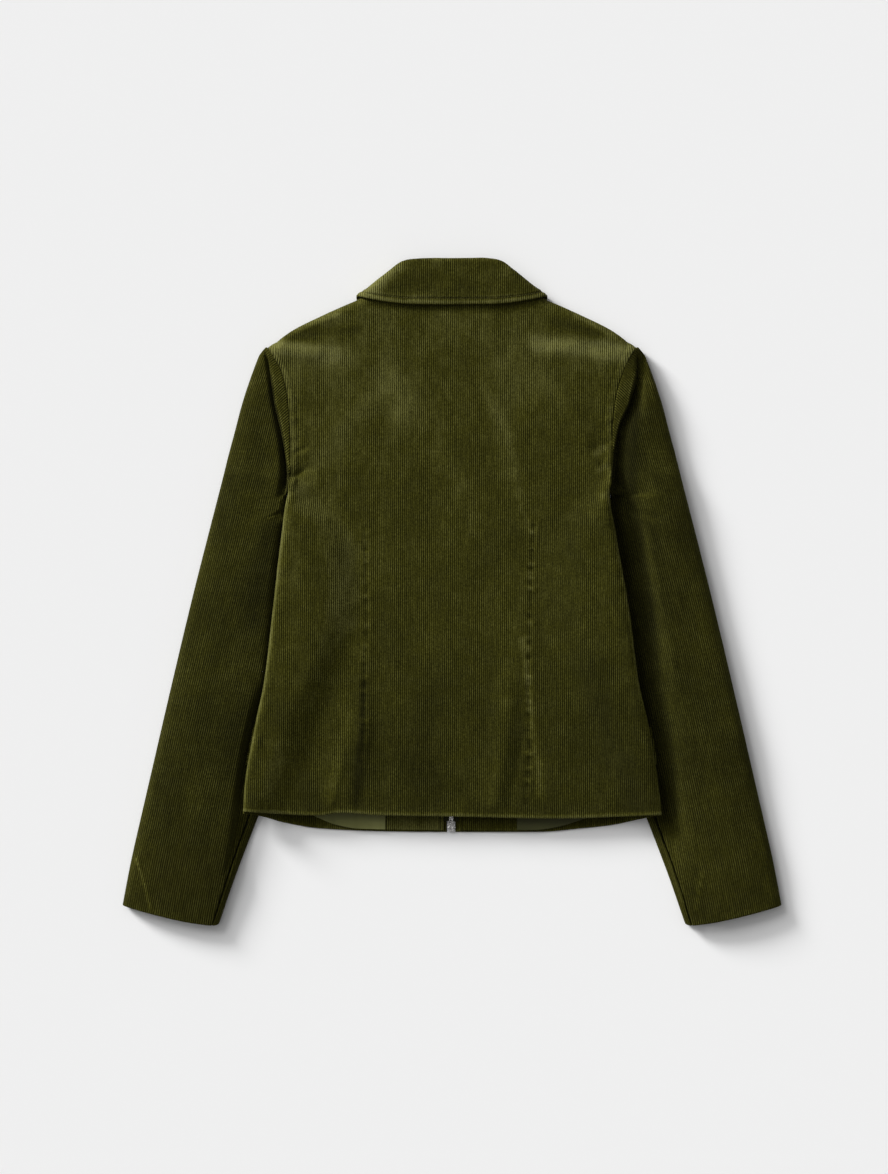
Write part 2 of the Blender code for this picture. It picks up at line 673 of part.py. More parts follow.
def collar_half(side, neck):
    """Rows of the collar's middle surface, from neck seam over the roll to the outer edge."""
    rows = []
    for station, start in zip(COLLAR_STATIONS, neck):
        value = {name: float(read(COLLAR, name, station, "at")) for name in COLLAR}
        middle = ZIP_X * max(0, 2 * station - 1)
        roll = np.array([side * value["roll_x"] + middle, value["roll_y"], value["roll_z"]])
        edge = np.array([side * value["edge_x"] + middle, value["edge_y"], value["edge_z"]])
        turn = np.radians(value["turn"])
        out = np.array([side * np.sin(turn), 0, np.cos(turn)])
        to_neck = (start - roll) / np.linalg.norm(start - roll)
        to_edge = (edge - roll) / np.linalg.norm(edge - roll)
        half = value["half"]
        along, rise = COLLAR_ROUND
        stand = roll + COLLAR_BEND * to_neck - half * out
        fall = roll + COLLAR_BEND * to_edge + half * out
        rows.append([
            start,
            start + 0.5 * (stand - start),
            stand,
            roll + along * to_neck - rise * half * out,
            roll,
            roll + along * to_edge + rise * half * out,
            fall,
            fall + 0.35 * (edge - fall) + COLLAR_PUFF * out,
            fall + 0.7 * (edge - fall) + COLLAR_PUFF * out,
            edge,
        ])
    return np.array(rows)


def build_collar(back, front_left, front_right):
    left = collar_half(-1, neck_line(-1, back, front_left))
    right = collar_half(1, neck_line(1, back, front_right))
    middle = np.concatenate([right[:0:-1], left])
    outer = moved_in(middle, -COLLAR_CLOTH / 2)
    outer[:, :, 2] = np.maximum(outer[:, :, 2], 0)
    wall("collar", outer, COLLAR_CLOTH, "corduroy")


# ---------------------------------------------------------------- zip and pockets


def prism(name, outline, low, high, finish):
    """A closed solid between two heights over an outline that runs anticlockwise."""
    count = len(outline)
    points = [(x, y, low) for x, y in outline] + [(x, y, high) for x, y in outline]
    faces = [tuple(range(count))[::-1], tuple(range(count, 2 * count))]
    for first in range(count):
        second = (first + 1) % count
        faces.append((first, second, second + count, first + count))
    return add_object(name, np.array(points, float), faces, finish)


def box(name, centre, size, finish):
    x, y, z = centre
    wide, long, tall = size
    outline = [
        (x - wide / 2, y - long / 2), (x + wide / 2, y - long / 2),
        (x + wide / 2, y + long / 2), (x - wide / 2, y + long / 2),
    ]
    return prism(name, outline, z - tall / 2, z + tall / 2, finish)


def joined(base, pieces, operation="UNION"):
    """Joins helpers to a solid, or cuts them from it, and hides them."""
    for piece in pieces:
        change = base.modifiers.new(operation.lower(), "BOOLEAN")
        change.operation = operation
        change.object = piece
        piece.hide_render = True
        piece.display_type = "WIRE"
    return base


def build_slider():
    low, high = SLIDER_Z
    top = SLIDER_Y + SLIDER_LENGTH / 2
    bottom = SLIDER_Y - SLIDER_LENGTH / 2
    narrow = SLIDER_WIDTH_TOP / 2
    wide = SLIDER_WIDTH_BOTTOM / 2
    corner = SLIDER_CORNER
    foot_low = bottom + SLIDER_FOOT[0]
    foot_high = bottom + SLIDER_FOOT[1]
    right = [
        (wide - corner, bottom), (wide, foot_low), (wide, foot_high), (narrow, top - corner),
        (narrow - corner, top),
    ]
    outline = [(ZIP_X + x, y) for x, y in right] + [(ZIP_X - x, y) for x, y in right[::-1]]
    body = prism("zip_slider", outline, low, high, "zip_metal")
    x, y, z = PULL_AXIS
    foot = high - BRIDGE_SUNK
    roof = z + BRIDGE_EYE
    top_of_roof = roof + BRIDGE_LEG
    leg_size = (BRIDGE_WIDTH, BRIDGE_LEG, top_of_roof - foot)
    leg_away = BRIDGE_EYE + BRIDGE_LEG / 2
    leg_z = (foot + top_of_roof) / 2
    roof_size = (BRIDGE_WIDTH, 2 * BRIDGE_EYE + BRIDGE_LEG, BRIDGE_LEG)
    pieces = [
        box("bridge_front", (x, y + leg_away, leg_z), leg_size, "zip_metal"),
        box("bridge_back", (x, y - leg_away, leg_z), leg_size, "zip_metal"),
        box("bridge_roof", (x, y, roof + BRIDGE_LEG / 2), roof_size, "zip_metal"),
    ]
    joined(body, pieces)


def build_pull():
    """A flat tab whose eye has the slider's bridge through it. It turns about PULL_AXIS."""
    x, y, z = PULL_AXIS
    half = PULL_WIDTH / 2
    bar = PULL_PLATE / 2
    tip = y + PULL_LENGTH
    corner_x, corner_y = PULL_CORNER
    outline = [
        (x - half, y - bar), (x + half, y - bar), (x + half, tip - corner_y),
        (x + half - corner_x, tip), (x - half + corner_x, tip), (x - half, tip - corner_y),
    ]
    tab = prism("zip_pull", outline, z - bar, z + bar, "zip_metal")
    eye_y = y + bar + PULL_EYE[1] / 2
    cutter = box("pull_eye", (x, eye_y, z), (*PULL_EYE, 3 * PULL_PLATE), "zip_metal")
    joined(tab, [cutter], "DIFFERENCE")
    centre = np.array(PULL_AXIS) * MM
    tab.data.transform(Matrix.Translation(-centre))
    tab.location = centre


def build_box():
    _, long, tall = BOX_SIZE
    y = SLIDER_Y - SLIDER_LENGTH / 2 - SEAM_GAP - long / 2
    box("zip_box", (ZIP_X, y, BOX_LOW + tall / 2), BOX_SIZE, "zip_metal")


def build_welt(side, word):
    """The edge of a side pocket, which shows a little past the body's edge."""
    grid = []
    for y in np.linspace(WELT_TOP, WELT_BOTTOM, WELT_ROWS):
        reach = abs(float(edge_x(y, side)))
        distances = np.array([reach - WELT_DEPTH, reach - WELT_DEPTH / 2, reach + WELT_PROUD])
        under = float(front_z(side * (reach - WELT_DEPTH), y))
        row = [(side * away, y, under - WELT_DROP) for away in distances]
        grid.append(row if side > 0 else row[::-1])
    wall("pocket_welt_" + word, np.array(grid), WELT_CLOTH, "corduroy")


def main():
    for old in list(bpy.data.objects):
        bpy.data.objects.remove(old, do_unlink=True)
    back = build_back()
    fronts = []
    for side, word in ((-1, "left"), (1, "right")):
        front = build_front(side, word)
        build_inside(front, side, word)
        build_sleeve(side, word)
        build_welt(side, word)
        fronts.append(front)
    build_collar(back, *fronts)
    build_slider()
    build_pull()
    build_box()


main()
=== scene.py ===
"""A short corduroy jacket, zipped shut and laid face down: its looks, round the solids of the part.

Sizes are in millimetres, and MM turns them into Blender's metres. +X is the right of the laid
jacket, +Y points to its collar, +Z is up, and z = 0 is the floor. A side is -1 for the left and 1
for the right. The tables and the shape functions say again what the part's solids are made from,
and each cloth piece here is a finer wall on the same form, with its creases, ribs and stitching.
"""

import bpy
import numpy as np
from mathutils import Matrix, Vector


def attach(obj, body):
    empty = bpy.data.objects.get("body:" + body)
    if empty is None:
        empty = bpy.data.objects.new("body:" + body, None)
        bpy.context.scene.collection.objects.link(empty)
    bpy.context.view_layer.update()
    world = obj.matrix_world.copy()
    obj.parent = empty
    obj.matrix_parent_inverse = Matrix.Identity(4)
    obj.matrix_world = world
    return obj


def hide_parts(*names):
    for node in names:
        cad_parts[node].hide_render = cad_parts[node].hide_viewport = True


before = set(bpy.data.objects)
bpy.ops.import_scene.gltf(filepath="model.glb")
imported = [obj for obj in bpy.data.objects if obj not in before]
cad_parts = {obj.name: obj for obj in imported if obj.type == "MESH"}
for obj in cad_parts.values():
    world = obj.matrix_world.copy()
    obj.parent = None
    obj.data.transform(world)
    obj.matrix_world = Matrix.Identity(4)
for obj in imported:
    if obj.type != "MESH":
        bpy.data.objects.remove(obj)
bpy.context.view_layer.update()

MM = 0.001

# Cloth and seams
CLOTH = 1.6
COLLAR_CLOTH = 2.0
LINING_CLOTH = 1.0
FACING_CLOTH = 1.4
TAPE_CLOTH = 1.0
SEAM_GAP = 0.3
SEAM_GROOVE = 1.2       # gap between two rolled edges at their outer faces, SEAM_GAP further in
ARMHOLE_GROOVE = 1.8

# The laid body
ZIP_X = -1.0
NECK_X = 88.0
TIP_X = 197.1
TIP_Y = 263.5
UNDERARM_Y = 108.0
SEAM_ROLL = 10.0        # how far in from a seam a panel starts to roll down to it
SHOULDER_SEAM_Z = 10.0
SIDE_SEAM_RISE = 7.5    # the side seam over the front's outer face
SLEEVE_LIFT = 14.0      # how far a sleeve lifts the front that lies on it
LIFT_FROM_FOLD = (-30, 15)  # where that lift starts and is full, from the sleeve's inner fold
SLEEVE_CLEARANCE = 3.3
BACK_LIFT = 0.8         # share of a sleeve's lift that reaches the back panel
LEAST_ROOM = 4.0        # least height of a sleeve under the body
VALLEY_ROOM = 8.5       # and in the valley beside the armhole
VALLEY_Y = (108, 138)   # where the one turns into the other
COLLAR_LIFT = 3.6       # how far the collar lifts the front that lies on it
COLLAR_LIFT_Y = (186, 205)
COLLAR_LIFT_X = (112, 132)
CALM = 12.0             # folds fade out this far from a seam
BACK_SHOULDER = 28.0    # how far inside NECK_X the drop to the shoulder seam starts
FRONT_SHOULDER = 16.0


def table(names, *rows):
    """Rows of numbers as named columns."""
    return dict(zip(names.split(), np.array(rows, float).T))


def lines(*rows):
    """Lines on the cloth: each has its two ends, a width, and a height or a share of brightness,
    which is negative for a trough or a darker place."""
    return table("x0 y0 x1 y1 width height", *rows)


# Edge of the body on each side: armhole from the shoulder tip, then side seam to the hem
BODY_EDGE = table(
    "y left right",
    (263.5, -197.1, 197.1),
    (254.9, -192.8, 191.7),
    (240.8, -184.1, 185.2),
    (220.3, -178.7, 178.2),
    (199.8, -175.5, 174.4),
    (179.3, -174.4, 172.2),
    (158.8, -173.3, 172.8),
    (130.7, -173.9, 171.2),
    (108.0, -176.6, 170.0),
    (90.7, -180.4, 171.6),
    (76.7, -182.0, 174.3),
    (33.5, -187.4, 182.0),
    (-15.1, -192.8, 190.6),
    (-96.1, -202.5, 201.4),
    (-149.0, -213.3, 213.3),
    (-211.7, -223.6, 223.0),
    (-238.7, -225.2, 226.3),
)

# Upper edges by distance from the middle: neck curve to NECK_X, then shoulder seam
BACK_TOP = table(
    "x y",
    (0, 314), (45, 315.5), (88, 320), (105, 313.5), (140, 298), (172, 282), (197.1, 263.5),
)
FRONT_TOP = table(
    "x y",
    (0, 238), (30, 243), (55, 262), (75, 291), (88, 320), (105, 313.5), (140, 298), (172, 282),
    (197.1, 263.5),
)
BACK_HEM = table(
    "x y",
    (-225, -236.5), (-143, -240.8), (-121, -238.1), (-73, -240.8), (0, -241.9), (113, -244.1),
    (184, -241.9), (226, -239.8),
)
FRONT_HEM = table(
    "x y",
    (-225, -238.7), (-210, -240.5), (-182, -248.4), (-143, -254.9), (-73, -258.1), (0, -258.8),
    (92, -258.8), (140, -254.9), (171, -251.6), (212, -242.5), (226, -239.8),
)

# Height of the back panel over the floor along the middle line
CROWN = table("y z", (320, 21), (250, 19.5), (120, 18), (0, 16.5), (-150, 16), (-240, 15.5))

# Largest soft folds of the back panel
BACK_FOLDS = lines(
    (-190, 261, -138, 257, 8, 2.2),
    (-176, 276, -120, 284, 9, -1.6),
    (200, 263, 139, 263, 7, -1.8),
    (196, 256, 104, 262, 8, 1.8),
    (-93, 66, -94, -118, 12, -1.6),
    (-96, -128, -125, -232, 14, 2.4),
    (85, 76, 84, -226, 12, -1.5),
    (64, -80, 40, -236, 14, 2.0),
    (-174, 122, -150, 136, 8, -2.0),
    (168, 140, 150, 158, 8, -1.8),
)

# Sleeves: distance of the outer fold and of the inner fold from the middle, and full height
SLEEVE_OUT = table(
    "y x",
    (264, 198), (249.5, 210), (233, 216.5), (217, 222.5), (185, 231), (152, 240), (120, 247.9),
    (55, 264.6), (-10, 281), (-107, 304), (-204, 326.5), (-301, 348.5), (-338, 355.4),
)
SLEEVE_IN = table(
    "y x",
    (150, 235), (125, 192), (115, 177), (101, 171.5), (90, 159), (76.7, 144), (44, 128),
    (-10, 125.8), (-64, 140), (-118, 160.4), (-182, 186), (-247, 211.1), (-301, 231.7),
    (-355.3, 250.6),
)
SLEEVE_HEIGHT = table(
    "y z",
    (264, 13), (240, 17), (200, 20), (150, 22), (0, 23), (-150, 22), (-300, 18), (-338, 16),
)
TUBE_ROWS = (101, 90, 72, 45, 10, -40, -90, -140, -190, -240, -290, -325, -338)
CUFF_TILT = -17.3       # how much lower the cuff's inner corner lies than its outer one
CUFF_DROP = 13.0        # how far the cuff's edge bows down, most beside its inner corner
CUFF_SKEW = (0.9, 0.3)
TILT_FROM = 0.2         # share of the way down a sleeve where its rows start to tilt
BOW_FROM = 0.7          # and where they start to bow
CAP_CROWN = 3.5         # how much the cap's middle stands above its seam ends, toward +Y
CAP_CROWN_Y = (235, 259)

# Places round a flattened sleeve in degrees: 0 is its outer fold, 180 its inner fold, and a
# negative angle is on the side that lies on the floor
UNDERARM_ANGLES = (146, 144, 142, 140, 137.5, 134.5, 131, 122, 80, 45, 18, 0)
CROWDED_FOR = (7, 36)   # how far below the underarm the top sleeve's columns stay crowded
EDGE_COLUMNS = (-3, 2, 9)   # millimetres outside the body's edge
OUTER_COLUMNS = (0.82, 0.64, 0.47, 0.31, 0.17, 0.06, 0)     # shares of the way left to the fold
LEAST_COLUMN = 1.2      # from one column to the next
FLOOR_ANGLES = (-18, -45, -75, -103)
CAP_ANGLES = (80, 45, 18, 0, -18, -45, -90)
UNDER_SLEEVE_ANGLES = (150, 157, 168, 180, -166, -150, -128, -104.5)
FOLD_Z = 0.4            # height of a sleeve's side folds, as a share of the sleeve's height
FLAT_UNDER = 0.3        # the more, the wider is the part of its underside on the floor
TUBE_BULGE = 0.7        # 1 for a round section, less for a boxier one

# The fold beside the back armhole, from the seam over a strip of the sleeve to the valley's
# bottom: where the strip is wide, in strip widths, where it is narrow, in millimetres, and the
# drop of each as a share of the valley's depth
PLEAT = table(
    "wide wide_drop narrow narrow_drop",
    (0, 0, 0, 0),
    (0.5, 0.02, 0.5, 0.06),
    (0.9, 0.1, 1.0, 0.2),
    (1.02, 0.38, 1.4, 0.42),
    (0.8, 0.64, 1.7, 0.66),
    (0.35, 0.82, 2.2, 0.88),
    (0.75, 1.0, 3.4, 1.0),
)
PLEAT_STRIP = table(
    "y left right",
    (260, 5, 6), (250, 9, 12), (225, 13, 15), (206, 14, 15), (187, 11, 9), (165, 7.5, 4),
    (144, 5.2, 1), (123, 1.2, 0.8), (108, 0.8, 0.8), (90, 0, 0),
)
STRIP_TURNS = (2, 7)    # between these widths the narrow form turns into the wide one
PLEAT_ENDS = (240, 258)
PLEAT_RISE = table("y left right", (220, 8, 20), (108, 8, 24))  # from the valley to the top
MOST_RISE = 0.4         # of the way from the valley to the outer fold

# How a sleeve rises beside what covers it: how far outside that edge it starts, and its slope
SLEEVE_FREE = table(
    "y left right left_slope right_slope",
    (225, 1, 2, 2.4, 0.6),
    (140, 1, 8, 2.4, 0.6),
    (108, -2, 20, 2.4, 0.6),
    (-90, -2, 17, 2.4, 0.6),
    (-135, 4, 16, 2.4, 0.6),
    (-195, 4, 14, 2.4, 0.6),
    (-250, 6, 12, 1.5, 1.5),
)

# The collar from the middle of the back (0) round a side (0.5) to the zip (1): its roll line, its
# outer edge, half the gap between stand and fall, and the turn of that gap from up
COLLAR = table(
    "at roll_x roll_y roll_z edge_x edge_y edge_z half turn",
    (0.00, 0, 358.2, 22.0, 0, 309.0, 23.4, 2.6, 0),
    (0.20, 30, 358.2, 22.0, 46, 309.6, 23.4, 2.6, 0),
    (0.34, 47, 357.0, 21.5, 76, 313.0, 23.4, 2.6, 15),
    (0.42, 54, 354.5, 19.5, 95, 316.8, 22.4, 2.5, 40),
    (0.50, 57, 350.0, 13.0, 102, 319.0, 12.0, 2.3, 90),
    (0.57, 56, 345.0, 6.5, 103, 318.5, 3.0, 2.0, 140),
    (0.64, 52, 338.0, 3.4, 101, 306.0, 1.0, 1.7, 180),
    (0.82, 30, 309.0, 2.7, 80, 254.0, 1.0, 1.7, 180),
    (1.00, 4.6, 288.0, 2.7, 46, 216.0, 1.0, 1.7, 180),
)
COLLAR_BEND = 3.5       # how far from the roll line the stand and the fall are flat again
COLLAR_ROUND = (0.9, 0.72)  # points beside the roll line: along the cloth, and share of half
COLLAR_PUFF = 0.3
STAND_SHARE = 0.5       # of the way from the neck to the roll, where the stand has a row
FALL_SHARES = (0.35, 0.7)   # and of the way from the roll to the edge
COLLAR_STATIONS = (0, 0.1, 0.2, 0.29, 0.36, 0.42, 0.46, 0.5, 0.54, 0.58, 0.63, 0.7, 0.79, 0.9, 1)

# Zip and pockets
FRONT_EDGE = 5.0        # from the middle of the zip to the edge of a front
FACING_EDGE = 8.5
FACING_END = 71.0
FACING_COUNT = 24       # its columns
TAPE_END = 14.0
TAPE_PLACES = (FRONT_EDGE, FRONT_EDGE, 8, 11, TAPE_END)
LINING_END = -14.0      # from the side edge
LINING_COUNT = 50       # its columns
LINING_EASE = 1.3       # how loosely the lining lies on the front
HEM_INSET = 2.0
NECK_CLEARANCE = 1.8
SLIDER_Y = -251.5
SLIDER_LENGTH = 8.0
WELT_TOP = -146.0
WELT_BOTTOM = -186.0
WELT_DEPTH = 14.0
WELT_PROUD = 1.6
WELT_CLOTH = 1.2
WELT_DROP = 1.0
WELT_ROWS = 22
WELT_COLUMNS = 9

# ---------------------------------------------------------------- curves and heights


def slopes(rise):
    """Slope at each point of a line that never overshoots, from the rise of each of its steps."""
    same_way = rise[:-1] * rise[1:] > 0
    total = np.where(same_way, rise[:-1] + rise[1:], 1)
    inner = np.where(same_way, 2 * rise[:-1] * rise[1:] / total, 0)
    return np.concatenate([rise[:1], inner, rise[-1:]])


def between(part, first, second, first_slope, second_slope):
    """A smooth line from one value to the next, with its slope at both."""
    back = 1 - part
    return (
        first * back * back * (1 + 2 * part)
        + second * part * part * (1 + 2 * back)
        + part * back * (first_slope * back - second_slope * part)
    )


def read(rows, name, at, key="y"):
    """One column of a table at other values of its key: a smooth line that never overshoots."""
    order = np.argsort(rows[key])
    keys = rows[key][order]
    values = rows[name][order]
    at = np.clip(np.asarray(at, float), keys[0], keys[-1])
    step = np.diff(keys)
    slope = slopes(np.diff(values) / step)
    place = np.clip(np.searchsorted(keys, at, side="right") - 1, 0, len(step) - 1)
    after = place + 1
    part = (at - keys[place]) / step[place]
    ends = step[place] * slope[place], step[place] * slope[after]
    return between(part, values[place], values[after], *ends)


def of_side(rows, x, y, name=""):
    """A column of a table for the side that a place is on."""
    return np.where(np.asarray(x) < 0, read(rows, "left" + name, y), read(rows, "right" + name, y))


def ease(value, start, end):
    """0 before start, 1 after end, smooth between."""
    part = np.clip((value - start) / (end - start), 0, 1)
    return part * part * (3 - 2 * part)


def edge_x(y, side):
    return of_side(BODY_EDGE, side, y)


def edge_distance(x, y):
    """How far inside the body's edge a place is."""
    return np.where(x < 0, x - edge_x(y, -1), edge_x(y, 1) - x)


def rolled(distance):
    """Share of a round drop at a distance in from the seam: 1 at the seam, 0 past the roll."""
    inside = 1 - np.clip(distance / SEAM_ROLL, 0, 1)
    return 1 - np.sqrt(np.clip(1 - inside * inside, 0, 1))


def inner_fold_x(y, side):
    """Distance of a sleeve's inner fold from the middle. At the underarm it follows the edge of
    the body, which is narrower on the right."""
    narrower = np.abs(edge_x(y, -1)) - np.abs(edge_x(y, side))
    return read(SLEEVE_IN, "x", y) - narrower * ease(y, 60, UNDERARM_Y)


def sleeve_lift(x, y):
    """How high the sleeves beneath it lift the outer face of a front."""
    past_fold = np.abs(x) - inner_fold_x(y, np.sign(x))
    return SLEEVE_LIFT * ease(past_fold, *LIFT_FROM_FOLD)


def collar_lift(x, y):
    return COLLAR_LIFT * ease(y, *COLLAR_LIFT_Y) * (1 - ease(np.abs(x), *COLLAR_LIFT_X))


def side_share(y):
    """1 where the panels meet at a side seam, 0 along the armhole."""
    return 1 - ease(y, UNDERARM_Y - 6, UNDERARM_Y + 10)


def folds(x, y, rows):
    """Height added by soft folds that run along lines and fade at their ends."""
    total = np.zeros(np.broadcast(x, y).shape)
    for x0, y0, x1, y1, width, height in zip(*rows.values()):
        length = np.hypot(x1 - x0, y1 - y0)
        along_x = (x1 - x0) / length
        along_y = (y1 - y0) / length
        along = (x - x0) * along_x + (y - y0) * along_y
        across = (y - y0) * along_x - (x - x0) * along_y
        beyond = np.maximum(np.abs(along - length / 2) - length / 2 + width, 0)
        total = total + height * np.exp(-(across**2 + beyond**2) / width**2)
    return total


def seam_z(x, y):
    """Height of the side seam, the same from the front and from the back."""
    return sleeve_lift(x, y) + SIDE_SEAM_RISE


def back_z(x, y):
    """Outer face of the back panel."""
    flat = read(CROWN, "z", y) + BACK_LIFT * sleeve_lift(x, y)
    from_edge = edge_distance(x, y)
    from_top = read(BACK_TOP, "y", np.abs(x), "x") - y
    calm = ease(np.minimum(from_edge, from_top), 0, CALM)
    flat = flat + folds(x, y, BACK_FOLDS) * calm
    side_drop = (flat - seam_z(x, y) - SEAM_GROOVE / 2) * rolled(from_edge) * side_share(y)
    on_shoulder = ease(np.abs(x), NECK_X - BACK_SHOULDER, NECK_X)
    top_drop = (flat - SHOULDER_SEAM_Z - SEAM_GROOVE / 2) * rolled(from_top) * on_shoulder
    return flat - np.maximum(side_drop, top_drop)


def front_z(x, y):
    """Outer face of a front panel, which faces the floor."""
    flat = np.maximum(sleeve_lift(x, y), collar_lift(x, y))
    from_edge = edge_distance(x, y)
    from_top = read(FRONT_TOP, "y", np.abs(x), "x") - y
    side_rise = (seam_z(x, y) - SEAM_GROOVE / 2 - flat) * rolled(from_edge) * side_share(y)
    on_shoulder = ease(np.abs(x), NECK_X - FRONT_SHOULDER, NECK_X)
    top_rise = (SHOULDER_SEAM_Z - SEAM_GROOVE / 2 - flat) * rolled(from_top) * on_shoulder
    return flat + np.maximum(side_rise, top_rise)


# The form of the back and of a front: upper edge, hem, outer face, and x of the middle
BACK = (BACK_TOP, BACK_HEM, back_z, 0)
FRONT = (FRONT_TOP, FRONT_HEM, front_z, ZIP_X)


# ---------------------------------------------------------------- walls


def face_normals(grid):
    """A unit normal at each point of a grid, the mean of the faces round it."""
    across = grid[:-1, 1:] - grid[1:, :-1]
    down = grid[1:, 1:] - grid[:-1, :-1]
    faces = np.cross(down, across)
    size = np.linalg.norm(faces, axis=2, keepdims=True)
    faces = faces / np.where(size > 0, size, 1)
    total = np.zeros_like(grid)
    total[:-1, :-1] += faces
    total[1:, :-1] += faces
    total[:-1, 1:] += faces
    total[1:, 1:] += faces
    return total / np.linalg.norm(total, axis=2, keepdims=True)


def moved_in(grid, distance):
    """The grid moved against its normals. The distance may differ from column to column."""
    return grid - face_normals(grid) * np.reshape(distance, (1, -1, 1))


# ---------------------------------------------------------------- body panels


# Rows of a panel: its share of the way from the top edge to the hem, and millimetres back up
TOP_INSETS = (0, 0.8, 3.2, 6.5, 10.5)
PANEL_PARTS = (
    0.06, 0.12, 0.18, 0.24, 0.28, 0.31, 0.34, 0.37, 0.41, 0.47, 0.54, 0.62, 0.70, 0.78, 0.86,
    0.93, 1,
)
PANEL_ROWS = [(0, inset) for inset in TOP_INSETS] + [(part, 0) for part in PANEL_PARTS]
ARMHOLE_ROWS = PANEL_ROWS[2:11]

# Columns of a panel: its share of the way from the middle to the side edge, plus millimetres
NECK_COLUMN = (0.35, NECK_X - 0.35 * TIP_X)
SIDE_COLUMNS = (
    (0.58, 0), (0.75, 0), (0.87, 0), (1, -10.5), (1, -6.5), (1, -3.2), (1, -0.8), (1, 0),
)
FRONT_COLUMNS = ((0, FRONT_EDGE), (0, 30), (0, 55), (0.2, 39), NECK_COLUMN, *SIDE_COLUMNS)
BACK_COLUMNS = ((0, 0), (0.15, 0), (0.3, 0), NECK_COLUMN, *SIDE_COLUMNS)


def row_y(part, inset):
    """Where a panel's row meets its side edge."""
    return TIP_Y + part * (BODY_EDGE["y"][-1] - TIP_Y) - inset


def half_panel(side, columns, form, rows=PANEL_ROWS):
    """Outer points of half a panel, its rows from the top edge to the hem and its columns from
    the middle to the side edge."""
    top_edge, hem, surface, middle = form
    share, extra = np.array(columns, float).T
    top = read(top_edge, "y", share * TIP_X + extra, "x")
    grid = []
    for part, inset in rows:
        reach = np.abs(edge_x(row_y(part, inset), side))
        x = side * (share * reach + extra) + middle * (1 - share)
        bottom = read(hem, "y", x, "x")
        y = top + part * (bottom - top) - inset * (1 - part)
        grid.append(np.stack([x, y, surface(x, y)], axis=1))
    return np.array(grid)


def down_facing(grid, side):
    """A grid that runs from the middle outward, turned so that its normals face the floor. A
    second call turns it back."""
    return grid if side < 0 else grid[:, ::-1]


def on_front(grid, side, distance):
    """The points of a front moved in from its outer face."""
    turned = moved_in(down_facing(grid, side), distance)
    return down_facing(turned, side)


def strip(grid, side, places):
    """Points of a grid's rows at given distances from the zip, the same for each row or not."""
    rows = []
    for row, at in zip(grid, np.broadcast_to(places, (len(grid), np.shape(places)[-1]))):
        away = side * (row[:, 0] - ZIP_X)
        y = np.interp(at, away, row[:, 1])
        z = np.interp(at, away, row[:, 2])
        rows.append(np.stack([ZIP_X + side * at, y, z], axis=1))
    return np.array(rows)


# ---------------------------------------------------------------- sleeves


def around(angle):
    """A place round a flattened tube: share of the way from outer to inner fold, and share of
    the height. The side on the floor is flat."""
    turn = np.radians(angle)
    across = 0.5 * (1 - np.cos(turn))
    bulge = np.abs(np.sin(turn)) ** TUBE_BULGE
    over = FOLD_Z + (1 - FOLD_Z) * bulge
    under = np.maximum(0, FOLD_Z - (FOLD_Z + FLAT_UNDER) * bulge)
    return across, np.where(turn >= 0, over, under)


def sleeve_room(x, y):
    """Height that a sleeve may have: low under the body and in the valley, then free to rise."""
    start = of_side(PLEAT_STRIP, x, y) + of_side(SLEEVE_FREE, x, y)
    outside = np.maximum(-edge_distance(x, y) - start, 0)
    under_body = sleeve_lift(x, y) - SLEEVE_CLEARANCE
    least = LEAST_ROOM + (VALLEY_ROOM - LEAST_ROOM) * ease(y, *VALLEY_Y)
    return np.maximum(under_body, least) + of_side(SLEEVE_FREE, x, y, "_slope") * outside


def top_angles(side, y):
    """Places round the top sleeve. At the underarm they crowd beside the body, and further down
    they straddle its edge."""
    crowded = np.array(UNDERARM_ANGLES, float)
    outer_x = read(SLEEVE_OUT, "x", y)
    width = outer_x - inner_fold_x(y, side)
    start, _ = around(crowded[0])
    near = (outer_x - np.abs(edge_x(y, side)) - np.array(EDGE_COLUMNS, float)) / width
    steps = 2 + np.arange(len(near))
    near = np.minimum(near, start - steps * LEAST_COLUMN / width)
    across = np.concatenate([
        [start, (start + near[0]) / 2], near, near[-1] * np.array(OUTER_COLUMNS),
    ])
    spread = np.degrees(np.arccos(1 - 2 * across))
    over = crowded + ease(UNDERARM_Y - y, *CROWDED_FOR) * (spread - crowded)
    return np.append(over, FLOOR_ANGLES)


def tube_row(side, y, angles):
    """One ring, or part of one, round a sleeve below the underarm."""
    across, up = around(np.array(angles, float))
    outer_x = read(SLEEVE_OUT, "x", y)
    along = (TUBE_ROWS[0] - y) / (TUBE_ROWS[0] - TUBE_ROWS[-1])
    tilt = CUFF_TILT * ease(along, TILT_FROM, 1)
    inner_x = inner_fold_x(y + tilt, side)
    x = side * (outer_x + across * (inner_x - outer_x))
    bow = CUFF_DROP * across ** CUFF_SKEW[0] * (1 - across) ** CUFF_SKEW[1]
    rows_y = y + tilt * across - bow * ease(along, BOW_FROM, 1)
    height = np.minimum(read(SLEEVE_HEIGHT, "z", y), sleeve_room(x, rows_y))
    return np.stack([x, rows_y, height * up], axis=1)


